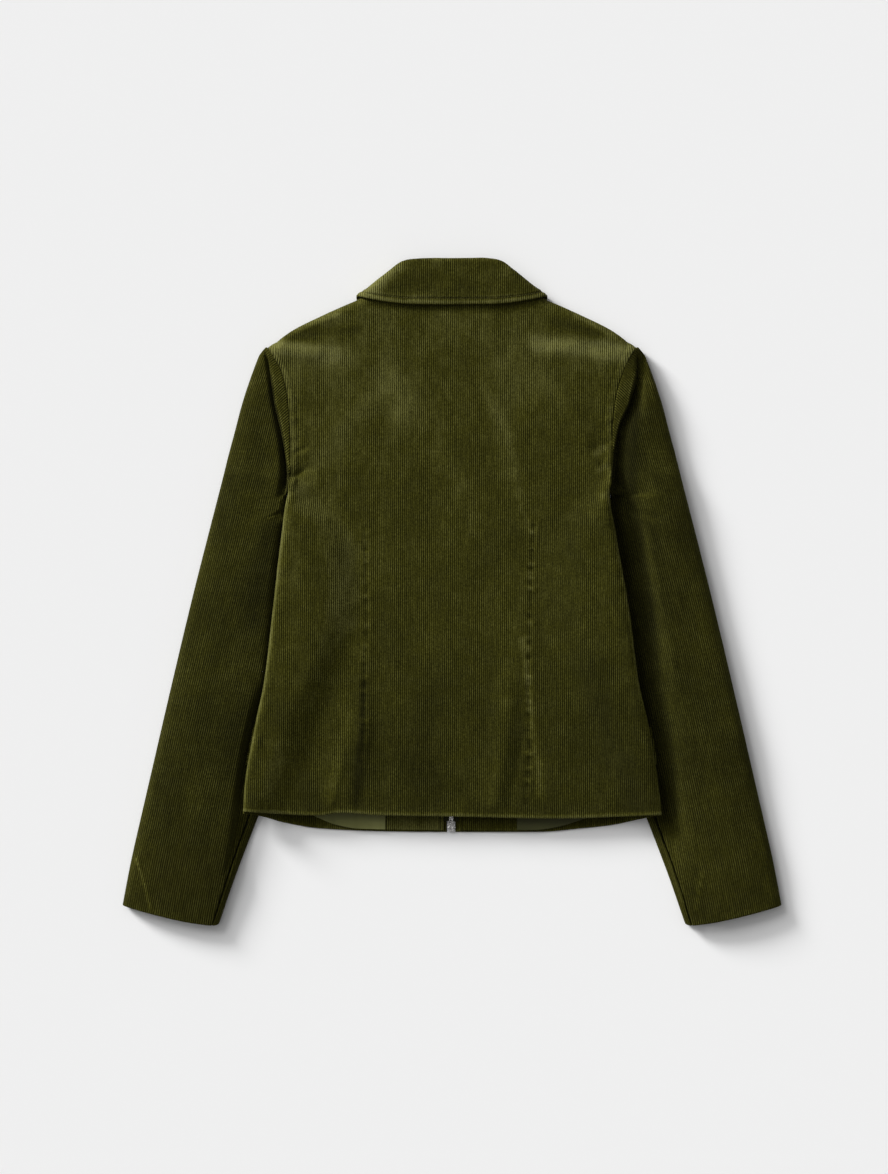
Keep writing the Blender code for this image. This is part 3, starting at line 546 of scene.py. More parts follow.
def cap_row(side, part, inset):
    """One section of the sleeve cap: from the back armhole over a strip into a valley, then up
    and over the outer fold to the front armhole."""
    y = row_y(part, inset)
    inside = edge_x(y, side)
    seam_x = inside + side * ARMHOLE_GROOVE
    back_height = back_z(inside, y)
    front_height = front_z(inside, y)
    outer_x = side * read(SLEEVE_OUT, "x", y)
    strip = of_side(PLEAT_STRIP, side, y)
    wide = ease(strip, *STRIP_TURNS)
    out = PLEAT["narrow"] + wide * (strip * PLEAT["wide"] - PLEAT["narrow"])
    drop = PLEAT["narrow_drop"] + wide * (PLEAT["wide_drop"] - PLEAT["narrow_drop"])
    depth = back_height - sleeve_room(inside + side * strip, y)
    pleat_x = seam_x + side * out
    pleat_z = back_height - depth * drop
    valley_x = pleat_x[-1]
    span = abs(outer_x - valley_x)
    rise = np.minimum(of_side(PLEAT_RISE, side, y), MOST_RISE * span)
    across, up = around(np.array(CAP_ANGLES, float))
    main_x = np.append(valley_x + side * rise, outer_x + across * (valley_x - outer_x))
    most = np.minimum(read(SLEEVE_HEIGHT, "z", y), back_height)
    main_z = np.minimum(most, sleeve_room(main_x, y)) * np.append(1, up)
    fold = len(pleat_x) + 1
    straight = np.arange(fold) / fold
    plain_x = seam_x + straight * (main_x[1] - seam_x)
    plain_z = back_height + straight * (most * up[0] - back_height)
    share = 1 - ease(y, *PLEAT_ENDS)
    x = np.concatenate([pleat_x, main_x, [seam_x]])
    z = np.concatenate([pleat_z, main_z, [front_height]])
    x[:fold] = plain_x + share * (x[:fold] - plain_x)
    z[:fold] = plain_z + share * (z[:fold] - plain_z)
    crown = CAP_CROWN * ease(y, *CAP_CROWN_Y)
    bump = np.sin(np.pi * np.linspace(0, 1, len(x)))
    return np.stack([x, y + crown * bump, z], axis=1)


# ---------------------------------------------------------------- collar


def neck_line(side, back, front):
    """Points just clear of the neck seam, from the middle of the back round a side to the zip, at
    the middle of the collar's wall."""
    stations = np.array(COLLAR_STATIONS)
    behind = stations <= 0.5
    half = back[0] if side > 0 else back[0, ::-1]
    half = half[len(half) // 2:]
    x_back = NECK_X * stations[behind] / 0.5
    y_back = np.interp(x_back, side * half[:, 0], half[:, 1])
    z_back = np.interp(x_back, side * half[:, 0], half[:, 2]) - CLOTH / 2
    share = (stations[~behind] - 0.5) / 0.5
    away = NECK_X + share * (FRONT_EDGE + 0.2 - NECK_X)
    edge = strip(front[:1], side, away)[0]
    behind_points = np.stack([side * x_back, y_back, z_back], axis=1)
    before_points = edge + np.array([0, 0, CLOTH / 2])
    return np.concatenate([behind_points, before_points]) + np.array([0, NECK_CLEARANCE, 0])


def collar_half(side, neck):
    """Rows of the collar's middle surface, from neck seam over the roll to the outer edge."""
    rows = []
    for station, start in zip(COLLAR_STATIONS, neck):
        value = {name: float(read(COLLAR, name, station, "at")) for name in COLLAR}
        middle = ZIP_X * max(0, 2 * station - 1)
        roll = np.array([side * value["roll_x"] + middle, value["roll_y"], value["roll_z"]])
        edge = np.array([side * value["edge_x"] + middle, value["edge_y"], value["edge_z"]])
        turn = np.radians(value["turn"])
        out = np.array([side * np.sin(turn), 0, np.cos(turn)])
        to_neck = (start - roll) / np.linalg.norm(start - roll)
        to_edge = (edge - roll) / np.linalg.norm(edge - roll)
        half = value["half"]
        along, rise = COLLAR_ROUND
        stand = roll + COLLAR_BEND * to_neck - half * out
        fall = roll + COLLAR_BEND * to_edge + half * out
        rows.append([
            start,
            start + STAND_SHARE * (stand - start),
            stand,
            roll + along * to_neck - rise * half * out,
            roll,
            roll + along * to_edge + rise * half * out,
            fall,
            *(fall + share * (edge - fall) + COLLAR_PUFF * out for share in FALL_SHARES),
            edge,
        ])
    return np.array(rows)


# ---------------------------------------------------------------- finer grids

STEP = 2.6        # most between two points of a fine grid
ROLL_STEP = 1.0   # the same where a panel rolls down to a seam
DART_STEP = 1.9   # and beside a dart
DART_COLUMNS = (60, 116)            # between which columns the darts lie
RIM_ROUND = 0.9                     # radius of a cut or folded edge
RIM_LINES = (0.3, 1.0)              # shares of that radius where an edge gets its extra lines
RIM_SPARE = 1.2                     # a line needs this many times its distance beside the edge
RIM_DROP = 0.7                      # how far an edge falls, as a share of its radius
RIM_PUFF = 0.35                     # how far a wall's rim bulges between its faces
REACH = 200.0                       # a usual half width and a usual length, to count steps by
LENGTH = 540.0


def finer(control, places, fine_from=None, dart=(0, 0)):
    """More rows or columns, evenly between the given ones. From fine_from on, the steps are those
    of a rolled edge, and between the two places of a dart they are smaller too."""
    made = [control[0]]
    for first, second, low, high in zip(control, control[1:], places, places[1:]):
        step = STEP
        if fine_from is not None and min(low, high) >= fine_from:
            step = ROLL_STEP
        elif dart[0] <= low < dart[1]:
            step = DART_STEP
        count = max(1, int(np.ceil(abs(high - low) / step)))
        for part in np.arange(1, count + 1) / count:
            made.append(tuple(a + part * (b - a) for a, b in zip(first, second)))
    return made


def fine_columns(columns, dart=(0, 0)):
    places = [share * REACH + extra for share, extra in columns]
    return finer(columns, places, REACH - SEAM_ROLL - 1, dart)


def fine_rows():
    depth = [part * LENGTH + inset for part, inset in PANEL_ROWS]
    top = finer(PANEL_ROWS[:5], [LENGTH + place for place in depth[:5]], LENGTH - 1)
    return top + finer(PANEL_ROWS[4:], depth[4:])[1:]


def smooth_rows(grid, step):
    """More rows, on a smooth line through each column's points that never overshoots."""
    rise = np.diff(grid, axis=0)
    slope = slopes(rise)
    lengths = np.linalg.norm(rise[:, :, :3], axis=2).mean(axis=1)
    made = [grid[:1]]
    for row, length in enumerate(lengths):
        count = max(1, int(np.ceil(length / step)))
        part = (np.arange(1, count + 1) / count)[:, None, None]
        made.append(between(part, grid[row], grid[row + 1], slope[row], slope[row + 1]))
    return np.concatenate(made)


def smooth_grid(grid, row_step=STEP, column_step=STEP):
    made = smooth_rows(grid, row_step)
    turned = smooth_rows(made.transpose(1, 0, 2), column_step)
    return turned.transpose(1, 0, 2)


def arc(grid):
    """Length along each row of a grid up to each of its points."""
    steps = np.linalg.norm(np.diff(grid[:, :, :3], axis=1), axis=2)
    return np.concatenate([np.zeros((len(grid), 1)), np.cumsum(steps, axis=1)], axis=1)


WAVE_COUNT = 40
WAVE_FALL = 0.7         # how fast shorter waves are lower: the power of their length


def waves(across, along, seed, shortest, longest, stretch=1.0):
    """Soft irregular waves of about unit height. Above 1, stretch draws them out along the cloth."""
    draw = np.random.default_rng(seed)
    total = np.zeros(np.broadcast(across, along).shape)
    power = 0.0
    for _ in range(WAVE_COUNT):
        length = np.exp(draw.uniform(np.log(shortest), np.log(longest)))
        angle = draw.uniform(0, np.pi)
        phase = draw.uniform(0, 2 * np.pi)
        height = (length / longest) ** WAVE_FALL
        turn_x = np.cos(angle) * 2 * np.pi / length
        turn_y = np.sin(angle) * 2 * np.pi / (length * stretch)
        total += height * np.sin(turn_x * across + turn_y * along + phase)
        power += height * height / 2
    return total / np.sqrt(power)


def raised(grid, height):
    """The grid moved out along its normals."""
    return grid + face_normals(grid) * height[:, :, None]


def with_rims(sheet):
    """Two more lines beside each edge of a sheet, close enough to round the edge."""
    for _ in range(2):
        for _ in range(2):
            first, second = sheet[0], sheet[1]
            gap = np.linalg.norm(second[:, :3] - first[:, :3], axis=1).mean()
            away = [part * RIM_ROUND for part in RIM_LINES if gap > RIM_SPARE * part * RIM_ROUND]
            added = [first + distance / gap * (second - first) for distance in away]
            sheet = np.concatenate([[first], *([line] for line in added), sheet[1:]])[::-1]
        sheet = sheet.transpose(1, 0, 2)
    return sheet


def edge_drop(grid):
    """How far a sheet falls beside its edges, as the edge of a thick cloth does."""
    across = arc(grid)
    down = arc(grid.transpose(1, 0, 2)).T
    near = np.minimum(np.minimum(across, across[:, -1:] - across), np.minimum(down, down[-1:] - down))
    left = np.clip(1 - near / RIM_ROUND, 0, 1)
    return RIM_ROUND * (1 - np.sqrt(1 - left * left)) * RIM_DROP


# ---------------------------------------------------------------- making a piece

NO_SEAM = 50.0          # a distance that is far from every sewn groove


def mesh_object(name, points, faces, finish, uv=None, marks=None):
    mesh = bpy.data.meshes.new(name)
    on_floor = np.maximum(points, (-np.inf, -np.inf, 0))
    mesh.from_pydata((on_floor * MM).tolist(), [], faces)
    mesh.materials.append(finish)
    mesh.shade_smooth()
    if uv is not None:
        corners = np.empty(len(mesh.loops), np.int32)
        mesh.loops.foreach_get("vertex_index", corners)
        layer = mesh.uv_layers.new(name="cloth")
        layer.data.foreach_set("uv", (np.asarray(uv) * MM)[corners].astype(np.float32).ravel())
    for mark, values in (marks or {}).items():
        kept = mesh.attributes.new(mark, "FLOAT", "POINT")
        kept.data.foreach_set("value", np.asarray(values, np.float32).ravel())
    made = bpy.data.objects.new(name, mesh)
    bpy.context.scene.collection.objects.link(made)
    return made


def quads(first, second):
    """Faces between two lines of points, as an array of corners."""
    return np.stack([first[:-1], second[:-1], second[1:], first[1:]], axis=-1).reshape(-1, 4)


def cloth(name, outer, thickness, finish, across, along, tone=None, seam=None):
    """A closed wall of cloth under a grid of outer points. across and along are the place of each
    point on the flat cloth, tone its share of brightness, and seam its distance from the nearest
    sewn groove."""
    if tone is None:
        tone = np.ones(across.shape)
    if seam is None:
        seam = np.full(across.shape, NO_SEAM)
    data = np.stack([across, along, tone, seam], axis=2)
    sheet = with_rims(np.concatenate([outer, data], axis=2))
    grid = np.ascontiguousarray(sheet[:, :, :3])
    flat = sheet[:, :, 3:].reshape(-1, 4)
    normals = face_normals(grid)
    inner = grid - normals * thickness
    grid = grid - normals * edge_drop(grid)[:, :, None]
    rows, columns = grid.shape[:2]
    count = rows * columns
    at = np.arange(count).reshape(rows, columns)
    faces = [quads(at[row], at[row + 1]) for row in range(rows - 1)]
    faces += [quads(at[row + 1] + count, at[row] + count) for row in range(rows - 1)]
    rim = np.concatenate([at[0, :], at[1:, -1], at[-1, -2::-1], at[-2:0:-1, 0]])
    flat_grid = grid.reshape(-1, 3)
    flat_inner = inner.reshape(-1, 3)
    middle = (flat_grid[rim] + flat_inner[rim]) / 2
    ahead = np.roll(middle, -1, axis=0) - np.roll(middle, 1, axis=0)
    out = np.cross(ahead, normals.reshape(-1, 3)[rim])
    size = np.linalg.norm(out, axis=1, keepdims=True)
    middle = middle - RIM_PUFF * out / np.where(size > 0, size, 1)
    ring = np.append(np.arange(len(rim)), 0)
    outer_rim = rim[ring]
    middle_rim = 2 * count + ring
    faces.append(quads(middle_rim, outer_rim))
    faces.append(quads(outer_rim + count, middle_rim))
    points = np.concatenate([flat_grid, flat_inner, middle])
    flat = np.concatenate([flat, flat, flat[rim]])
    marks = {"tone": flat[:, 2], "seam": flat[:, 3]}
    return mesh_object(name, points, np.concatenate(faces).tolist(), finish, flat[:, :2], marks)


# ---------------------------------------------------------------- materials

WALE = 2.24             # one rib of the corduroy
TAPE_RIB = 1.1          # and one of the zip tape
RIB_WANDER = 0.6        # how far the ribs wander sideways
GROOVE_REACH = 1.1      # half the width of a sewn groove
GROOVE_LIGHT = 0.40     # share of the light at its bottom

GROOVE_COLOUR = (0.0056, 0.0052, 0.0006)
PILE_COLOUR = (0.0345, 0.0330, 0.0034)
TIP_COLOUR = (0.088, 0.086, 0.017)
FROST_AND_HIGHLIGHT_COLOUR = (0.135, 0.134, 0.050)    # of pile that leans towards the light, and of painted highlights
SHEEN_COLOUR = (0.62, 0.60, 0.14)
LINING_COLOURS = (0.058, 0.060, 0.018), (0.112, 0.114, 0.040)
TAPE_COLOURS = (0.010, 0.010, 0.003), (0.032, 0.032, 0.012)
THREAD_COLOURS = (0.055, 0.052, 0.014), (0.110, 0.105, 0.034)
METAL_COLOUR = (0.42, 0.41, 0.40)

# Noises on a cloth: steps per metre across and along it, detail and roughness
CLOTH_NOISES = {
    "wander": (55, 14, 2.0, 0.5),
    "pile": (1500, 900, 3.0, 0.65),
    "fleck": (640, 380, 2.0, 0.6),
    "streak": (430, 45, 3.0, 0.6),
    "crush": (36, 70, 3.0, 0.6),
    "mottle": (110, 75, 3.0, 0.6),
    "satin": (3200, 1100, 2.0, 0.5),
    "satin_shade": (40, 22, 2.0, 0.5),
    "tape": (1800, 2600, 2.0, 0.5),
}


class Graph:
    """A material's nodes, built by short calls."""

    def __init__(self, name):
        self.material = bpy.data.materials.new(name)
        self.material.use_nodes = True
        self.nodes = self.material.node_tree.nodes
        self.links = self.material.node_tree.links
        self.shader = self.nodes["Principled BSDF"]

    def put(self, socket, value):
        if isinstance(value, bpy.types.NodeSocket):
            self.links.new(value, socket)
        else:
            socket.default_value = value

    def node(self, kind, inputs=(), output=0, **settings):
        """The output of a new node with these settings, and with inputs by name or place."""
        made = self.nodes.new("ShaderNode" + kind)
        for name, value in settings.items():
            setattr(made, name, value)
        for socket, value in dict(inputs).items():
            self.put(made.inputs[socket], value)
        return made.outputs[output]

    def math(self, operation, *values):
        return self.node("Math", enumerate(values), operation=operation)

    def total(self, start, *parts):
        """A start with each value times its weight added to it."""
        for value, weight in parts:
            start = self.math("MULTIPLY_ADD", value, weight, start)
        return start

    def clamped(self, value):
        return self.node("Clamp", {"Value": value})

    def on_object(self):
        return self.node("TexCoord", output="Object")

    def on_cloth(self):
        return self.node("UVMap", output="UV", uv_map="cloth")

    def mark(self, name):
        return self.node("Attribute", output="Fac", attribute_name=name)

    def noise(self, vector, scale, detail=2.0, rough=0.5):
        """Noise whose steps per metre differ along X, Y and Z."""
        place = self.node("VectorMath", {0: vector, 1: scale}, operation="MULTIPLY")
        inputs = {"Vector": place, "Scale": 1.0, "Detail": detail, "Roughness": rough}
        return self.node("TexNoise", inputs, "Fac")

    def cloth_noise(self, kind):
        across, along, detail, rough = CLOTH_NOISES[kind]
        return self.noise(self.on_cloth(), (across, along, 0), detail, rough)

    def ribs(self, across, pitch):
        """A wave across the cloth: 1 on a rib, 0 between two."""
        turn = self.math("MULTIPLY", across, 2 * np.pi / pitch)
        return self.total(0.5, (self.math("COSINE", turn), 0.5))

    def across(self):
        return self.node("SeparateXYZ", {0: self.on_cloth()})

    def ramp(self, value, *stops):
        node = self.nodes.new("ShaderNodeValToRGB")
        self.put(node.inputs["Fac"], value)
        elements = node.color_ramp.elements
        while len(elements) < len(stops):
            elements.new(0.5)
        for element, (place, colour) in zip(elements, stops):
            element.position = place
            element.color = (*colour, 1)
        return node.outputs["Color"]

    def scaled(self, colour, value):
        return self.node("VectorMath", {0: colour, "Scale": value}, operation="SCALE")

    def blend(self, share, first, second):
        return self.node("Mix", {0: share, 6: first, 7: second}, 2, data_type="RGBA")

    def bump(self, height, distance, strength):
        return self.node("Bump", {"Height": height, "Distance": distance, "Strength": strength})

    def set(self, **values):
        for name, value in values.items():
            self.put(self.shader.inputs[name.replace("_", " ")], value)


def corduroy():
    """Ribs of cut pile along the cloth: dark grooves, lighter tips, a nap that lies this way and
    that, and the painted highlights and painted shade that the tone mark brings."""
    g = Graph("corduroy")
    wander = g.total(g.across(), (g.cloth_noise("wander"), RIB_WANDER * MM))
    rib = g.math("POWER", g.ribs(wander, WALE * MM), 0.6)
    pile = g.cloth_noise("pile")
    fleck = g.cloth_noise("fleck")
    streak = g.cloth_noise("streak")
    depth = g.math("MAXIMUM", g.total(-1.0, (g.cloth_noise("crush"), 3.2)), 0.05)
    ribbed = g.math("MULTIPLY", g.math("ADD", rib, -0.62), depth)
    level = g.total(-0.615, (ribbed, 0.95), (pile, 0.62), (streak, 0.60), (fleck, 0.95))
    colour = g.ramp(level, (0.0, GROOVE_COLOUR), (0.55, PILE_COLOUR), (1.0, TIP_COLOUR))
    patch = g.noise(g.on_object(), (22, 13, 22), 3.0, 0.55)
    nap = g.total(0.45, (g.cloth_noise("mottle"), 0.50), (patch, 0.60))
    # the tone mark holds painted highlights and painted shade as well as the pile's own tone
    strength = g.math("MULTIPLY", nap, g.mark("tone"))
    # the brightest places, painted highlights among them, turn to a paler frost
    frost_and_highlight = g.math("MULTIPLY", g.clamped(g.math("ADD", strength, -1.1)), level)
    speck = g.clamped(g.total(-1.62, (pile, 2.6)))
    frost_and_highlight = g.total(0.0, (speck, 0.22), (frost_and_highlight, 1.05))
    colour = g.blend(frost_and_highlight, g.scaled(colour, strength), (*FROST_AND_HIGHLIGHT_COLOUR, 1))
    # painted shade at the bottom of a sewn groove: the colour falls to GROOVE_LIGHT there
    off_seam = g.clamped(g.math("DIVIDE", g.math("ABSOLUTE", g.mark("seam")), GROOVE_REACH))
    out_of_groove = g.math("POWER", off_seam, 1.5)
    colour = g.scaled(colour, g.total(GROOVE_LIGHT, (out_of_groove, 1 - GROOVE_LIGHT)))
    g.set(Base_Color=colour, Roughness=0.95, Specular_IOR_Level=0.05)
    g.set(Sheen_Weight=0.10, Sheen_Roughness=0.45, Sheen_Tint=(*SHEEN_COLOUR, 1))
    height = g.total(rib, (pile, 0.32), (out_of_groove, 1.0))
    g.set(Normal=g.bump(height, 0.00055, 0.9))
    return g.material


def lining_cloth():
    """A soft satin with a fine weave."""
    g = Graph("lining")
    weave = g.cloth_noise("satin")
    level = g.total(0.0, (g.cloth_noise("satin_shade"), 0.8), (weave, 0.25))
    colour = g.ramp(level, (0.2, LINING_COLOURS[0]), (0.85, LINING_COLOURS[1]))
    g.set(Base_Color=g.scaled(colour, g.mark("tone")), Roughness=0.5, Specular_IOR_Level=0.12)
    g.set(Normal=g.bump(weave, 0.00012, 0.6))
    return g.material


def tape_cloth():
    """A woven zip tape with its lengthwise ribs."""
    g = Graph("zip_tape")
    level = g.total(0.0, (g.cloth_noise("tape"), 0.6), (g.ribs(g.across(), TAPE_RIB * MM), 0.5))
    colour = g.ramp(level, (0.1, TAPE_COLOURS[0]), (0.9, TAPE_COLOURS[1]))
    g.set(Base_Color=colour, Roughness=0.8, Specular_IOR_Level=0.08)
    g.set(Normal=g.bump(level, 0.0002, 0.8))
    return g.material


def plated_metal():
    """Plated metal with small dents and spots."""
    g = Graph("zip_metal")
    spots = g.noise(g.on_object(), (900, 900, 900), 3.0)
    dents = g.noise(g.on_object(), (420, 420, 420), 1.0)
    g.set(Base_Color=(*METAL_COLOUR, 1), Metallic=1.0)
    g.set(Roughness=g.total(0.18, (spots, 0.25)))
    g.set(Normal=g.bump(dents, 0.0012, 1.0))
    return g.material


def thread_cloth():
    g = Graph("thread")
    twist = g.noise(g.on_object(), (2500, 2500, 2500))
    colour = g.ramp(twist, (0.3, THREAD_COLOURS[0]), (0.7, THREAD_COLOURS[1]))
    g.set(Base_Color=colour, Roughness=0.8, Specular_IOR_Level=0.05)
    return g.material


CORDUROY = corduroy()
LINING = lining_cloth()
TAPE = tape_cloth()
METAL = plated_metal()
THREAD = thread_cloth()


# ---------------------------------------------------------------- creases and nap

# Creases of the back
BACK_CREASES = lines(
    (-176, 121.5, -159, 131.5, 2.2, -1.9),
    (-176, 117.5, -150, 127, 3.0, 0.9),
    (-172, 149, -156, 155.5, 2.2, -1.1),
    (-171, 144.5, -152, 151, 3.0, 0.7),
    (170, 131, 158, 139, 2.0, -1.3),
    (172, 139, 160, 146, 2.6, 1.0),
    (169, 150, 161, 159, 2.0, -1.0),
    (171, 156, 163, 166, 3.0, 0.6),
    (-160, 140, -82, 216, 15, 0.9),
    (-150, 116, -70, 160, 12, 0.5),
    (150, 158, 88, 208, 13, 1.0),
    (152, 122, 92, 150, 11, 0.6),
    (-78, 236, -66, 180, 14, -0.8),
    (72, 232, 62, 170, 14, -0.7),
    (0, 296, 0, 240, 22, 0.6),
    (-182, 60, -120, 40, 12, 0.5),
    (-186, -20, -120, -46, 14, -0.5),
    (182, 30, 120, 8, 13, -0.5),
    (190, -60, 128, -92, 12, 0.6),
    (-100, -130, -124, -236, 4.5, -0.9),
    (-88, -140, -108, -236, 6, 0.6),
    (-206, -150, -212, -172, 3.0, 0.8),
    (-150, -70, -170, -210, 13, 0.5),
    (78, -150, 60, -236, 4.5, -0.7),
    (68, -110, 48, -236, 7, 0.5),
    (110, -120, 128, -236, 13, 0.5),
    (0, -40, -8, -220, 30, 0.7),
    (-93, 66, -94, -118, 12, 1.2),
    (85, 76, 84, -226, 12, 1.0),
)

# Darts of the back: the line of each
LEFT_DART = table(
    "y x",
    (74, -93.4), (24, -92.3), (-43, -91.3), (-100, -94.3), (-144, -94.6), (-184, -96.7),
)
RIGHT_DART = table(
    "y x",
    (82, 89.1), (26, 85.9), (-67, 83.7), (-111, 82.6), (-166, 83.7), (-232, 79.4),
)
DARTS = {"left_dart": LEFT_DART, "right_dart": RIGHT_DART}
DART_SHEEN = {"left_dart": 0.40, "right_dart": 0.65}    # strength of each one's painted highlight
DART_PITCH = 4.6        # from one of its puckers to the next, at the least
DART_SUNK = 0.6         # how far a dart's groove stays open
LIGHTER_UP = (60, 250)  # between which y the back gets lighter towards the top
DARKER_DOWN = (20, -190)    # and darker towards the bottom
SLOPE_SHADE = (0.30, 0.24)  # painted light and shade on the slopes over the sleeves, left and right: lighter on the left, darker on the right

# Where the nap lies lighter or darker on the back, with painted highlights and shade on the shoulder
# ridges and a painted shadow under the collar's edge
BACK_NAP_AND_LIGHT = lines(
    # painted highlights on the shoulder ridges, painted shade in the bands beside them
    (-192, 263, -122, 256, 6, 1.60),
    (-150, 252, -104, 252, 12, 0.40),
    (198, 255, 150, 262, 8, 2.40),
    (150, 262, 84, 268, 8, 1.40),
    (-180, 274, -96, 283, 5, -0.40),
    (165, 277, 104, 292, 6, -0.42),
    (-176, 286, -120, 299, 4, 0.35),
    (176, 274, 130, 300, 4, 0.35),
    (-170, 108, -164, 112, 6, 0.55),
    (-164, 112, -60, 241, 10, 0.24),
    (-160, 210, -150, 190, 14, -0.12),
    (-60, 236, -54, 176, 12, 0.16),
    (-36, 280, -30, 150, 20, -0.06),
    (30, 224, 59, 175, 7, 0.22),
    (59, 175, 73, 98, 7, 0.24),
    (73, 98, 84, 59, 5, 0.24),
    (100, 236, 124, 190, 12, 0.22),
    (132, 214, 150, 170, 16, -0.16),
    (166, 158, 152, 146, 4, 0.6),
    (168, 138, 154, 128, 4, 0.5),
    (169, 108, 158, 100, 5, 0.4),
    (-150, 56, -96, -10, 8, 0.20),
    (-96, -56, -150, -202, 10, 0.22),
    (-107, -125, -135, -230, 8, 0.34),
    (-95, -92, -98.5, -168, 3, -0.45),
    (-98, -160, -105, -236, 7, -0.40),
    (-80, -150, 4, -210, 30, -0.10),
    (76, -48, 96, -222, 5, 0.45),
    (58, -110, 42, -232, 8, 0.30),
    (112, 90, 128, 30, 18, -0.10),
    (150, -150, 170, -226, 18, 0.10),
    (-190, -150, -206, -228, 12, 0.16),
    (-176, -30, -186, -120, 10, 0.14),
    # painted shadow under the collar's edge
    (-92, 312, -48, 306.5, 4, -0.45),
    (-48, 306.5, 48, 306, 4, -0.50),
    (48, 306.5, 92, 312, 4, -0.45),
)


COLLAR_STITCH = 7.0     # from the collar's edge to its line of stitching
FACING_STITCH = 12.0    # and from the zip to that of a facing

# What runs along an edge or a sewn line: its distance from the line, its width, and its height or,
# for a "tone", its share of brightness: a painted highlight along that edge, fold or ridge
RIDGES = {
    "dart_groove": (0, 2.0, -0.55),
    "dart_lip": (4.4, 2.4, 0.34),
    "dart_tone": (-2.3, 1.2, 0.30),
    "dart_pucker_tone": (0, 4.5, 0.6),
    "pucker": (0, 5.0, 1.0),
    "armhole_lip": (4.5, 2.4, 0.35),
    "armhole_dip": (8.5, 1.6, -0.3),
    "armhole_tone": (3, 2.6, 0.22),
    "side_tone": (1, 2.0, 0.75),
    "hem": (2.6, 2.2, 0.30),
    "hem_tone": (1, 1.8, 1.3),
    "front_stitching": (11, 1.0, -0.3),
    "front_hem_tone": (0, 2.2, 0.4),
    "facing_stitching": (FACING_STITCH, 1.2, 0.15),
    "facing_edge_tone": (9.5, 1.5, 0.25),
    "facing_hem_tone": (0, 2, 0.3),
    "cuff": (2.4, 2.0, 0.35),
    "cuff_tone": (0, 2.0, 0.4),
    "pleat_tone": (-0.8, 0.8, 0.60),
    "collar_edge": (3.4, 2.2, 0.45),
    "collar_groove": (COLLAR_STITCH, 0.9, -0.80),
    "collar_ridge": (COLLAR_STITCH + 2.8, 1.8, 0.45),
    "collar_edge_tone": (2.8, 2.0, 0.95),
    "collar_ridge_tone": (COLLAR_STITCH + 2.2, 1.4, 0.50),
}

# Soft waves over a piece: seed, shortest and longest, how drawn out along the cloth, and height
WAVES = {
    "back": (11, 26, 110, 1.6, 0.22),
    "back_tone": (21, 18, 90, 1.8, 0.05),
    "front": (31, 30, 120, 1.8, 0.16),
    "front_tone": (33, 20, 110, 1.8, 0.08),
    "facing": (41, 25, 90, 1.0, 0.09),
    "lining": (51, 14, 60, 3.0, 0.38),
    "sleeve": (61, 24, 120, 2.2, 0.25),
    "sleeve_tone": (62, 20, 110, 2.2, 0.09),
    "collar": (82, 16, 80, 1.0, 0.28),
    "collar_tone": (83, 12, 70, 1.0, 0.07),
}
UNDER_SLEEVE_SEED = 10  # how much later the seeds of an under sleeve are

# Puckers beside a sewn line: its distance from the edge, their seed, pitch and height
PUCKERS = {
    "left_dart": (0, 3, DART_PITCH, 1.0),
    "right_dart": (0, 4, DART_PITCH, 1.0),
    "armhole": (4, 12, 6.0, 0.35),
    "side": (6, 13, 12.0, 0.3),
    "front_side": (5, 32, 12.0, 0.5),
    "collar": (COLLAR_STITCH, 81, 8.0, 0.20),
}
PUCKER_SPREAD = 3.2     # longest pucker, in shortest ones


def ridge(kind, distance):
    """Height or share of brightness, at a distance from a line, of what runs along it."""
    at, width, height = RIDGES[kind]
    return height * np.exp(-(((distance - at) / width) ** 2))


def waved(kind, across, along, later=0):
    """Soft waves over a piece. later is added to their seed."""
    seed, shortest, longest, stretch, height = WAVES[kind]
    return height * waves(across, along, seed + later, shortest, longest, stretch)


def puckered(kind, distance, along):
    """Height of the small puckers beside a sewn line."""
    at, seed, pitch, height = PUCKERS[kind]
    away = distance - at
    draw = waves(away * 0, along, seed, pitch, pitch * PUCKER_SPREAD)
    return height * draw * ridge("pucker", away)


def dart_place(x, y, line):
    """Distance from a dart, and 1 along it but 0 beyond its ends."""
    top = line["y"].max()
    bottom = line["y"].min()
    here = ease(y, bottom - 8, bottom + 12) * (1 - ease(y, top - 12, top + 2))
    return x - read(line, "x", y), here


def dart(x, y, name):
    """A sewn fold: a groove between two soft lips, with puckers."""
    away, here = dart_place(x, y, DARTS[name])
    fold = ridge("dart_groove", away) + ridge("dart_lip", np.abs(away))
    return here * (fold + 0.5 * puckered(name, away, y))


def dart_sheen(x, y, name):
    """A painted highlight on a dart's folded edge and on its puckers."""
    away, here = dart_place(x, y, DARTS[name])
    puckers = np.clip(puckered(name, away, y), -0.4, 1.0)
    sheen = ridge("dart_tone", away) + puckers * ridge("dart_pucker_tone", away)
    return DART_SHEEN[name] * here * sheen


def back_seams(x, y):
    """Distance from the back's darts and from its armhole edges."""
    nearest = np.maximum(edge_distance(x, y), 0) + 3 * GROOVE_REACH * side_share(y)
    for line in DARTS.values():
        away, here = dart_place(x, y, line)
        nearest = np.minimum(nearest, np.abs(away) + DART_SUNK + GROOVE_REACH * (1 - here))
    return nearest


def back_relief(x, y):
    """Height of the back's creases, darts and puckers."""
    from_edge = edge_distance(x, y)
    from_top = read(BACK_TOP, "y", np.abs(x), "x") - y
    from_hem = y - read(BACK_HEM, "y", x, "x")
    total = folds(x, y, BACK_CREASES) + sum(dart(x, y, name) for name in DARTS)
    total = (total + waved("back", x, y)) * ease(np.minimum(from_edge, from_top), 0, 5)
    armhole = ridge("armhole_lip", from_edge) + ridge("armhole_dip", from_edge)
    armhole = armhole + puckered("armhole", from_edge, y)
    at_side = side_share(y)
    side = at_side * puckered("side", from_edge, y)
    return total + (1 - at_side) * armhole + side + ridge("hem", from_hem)


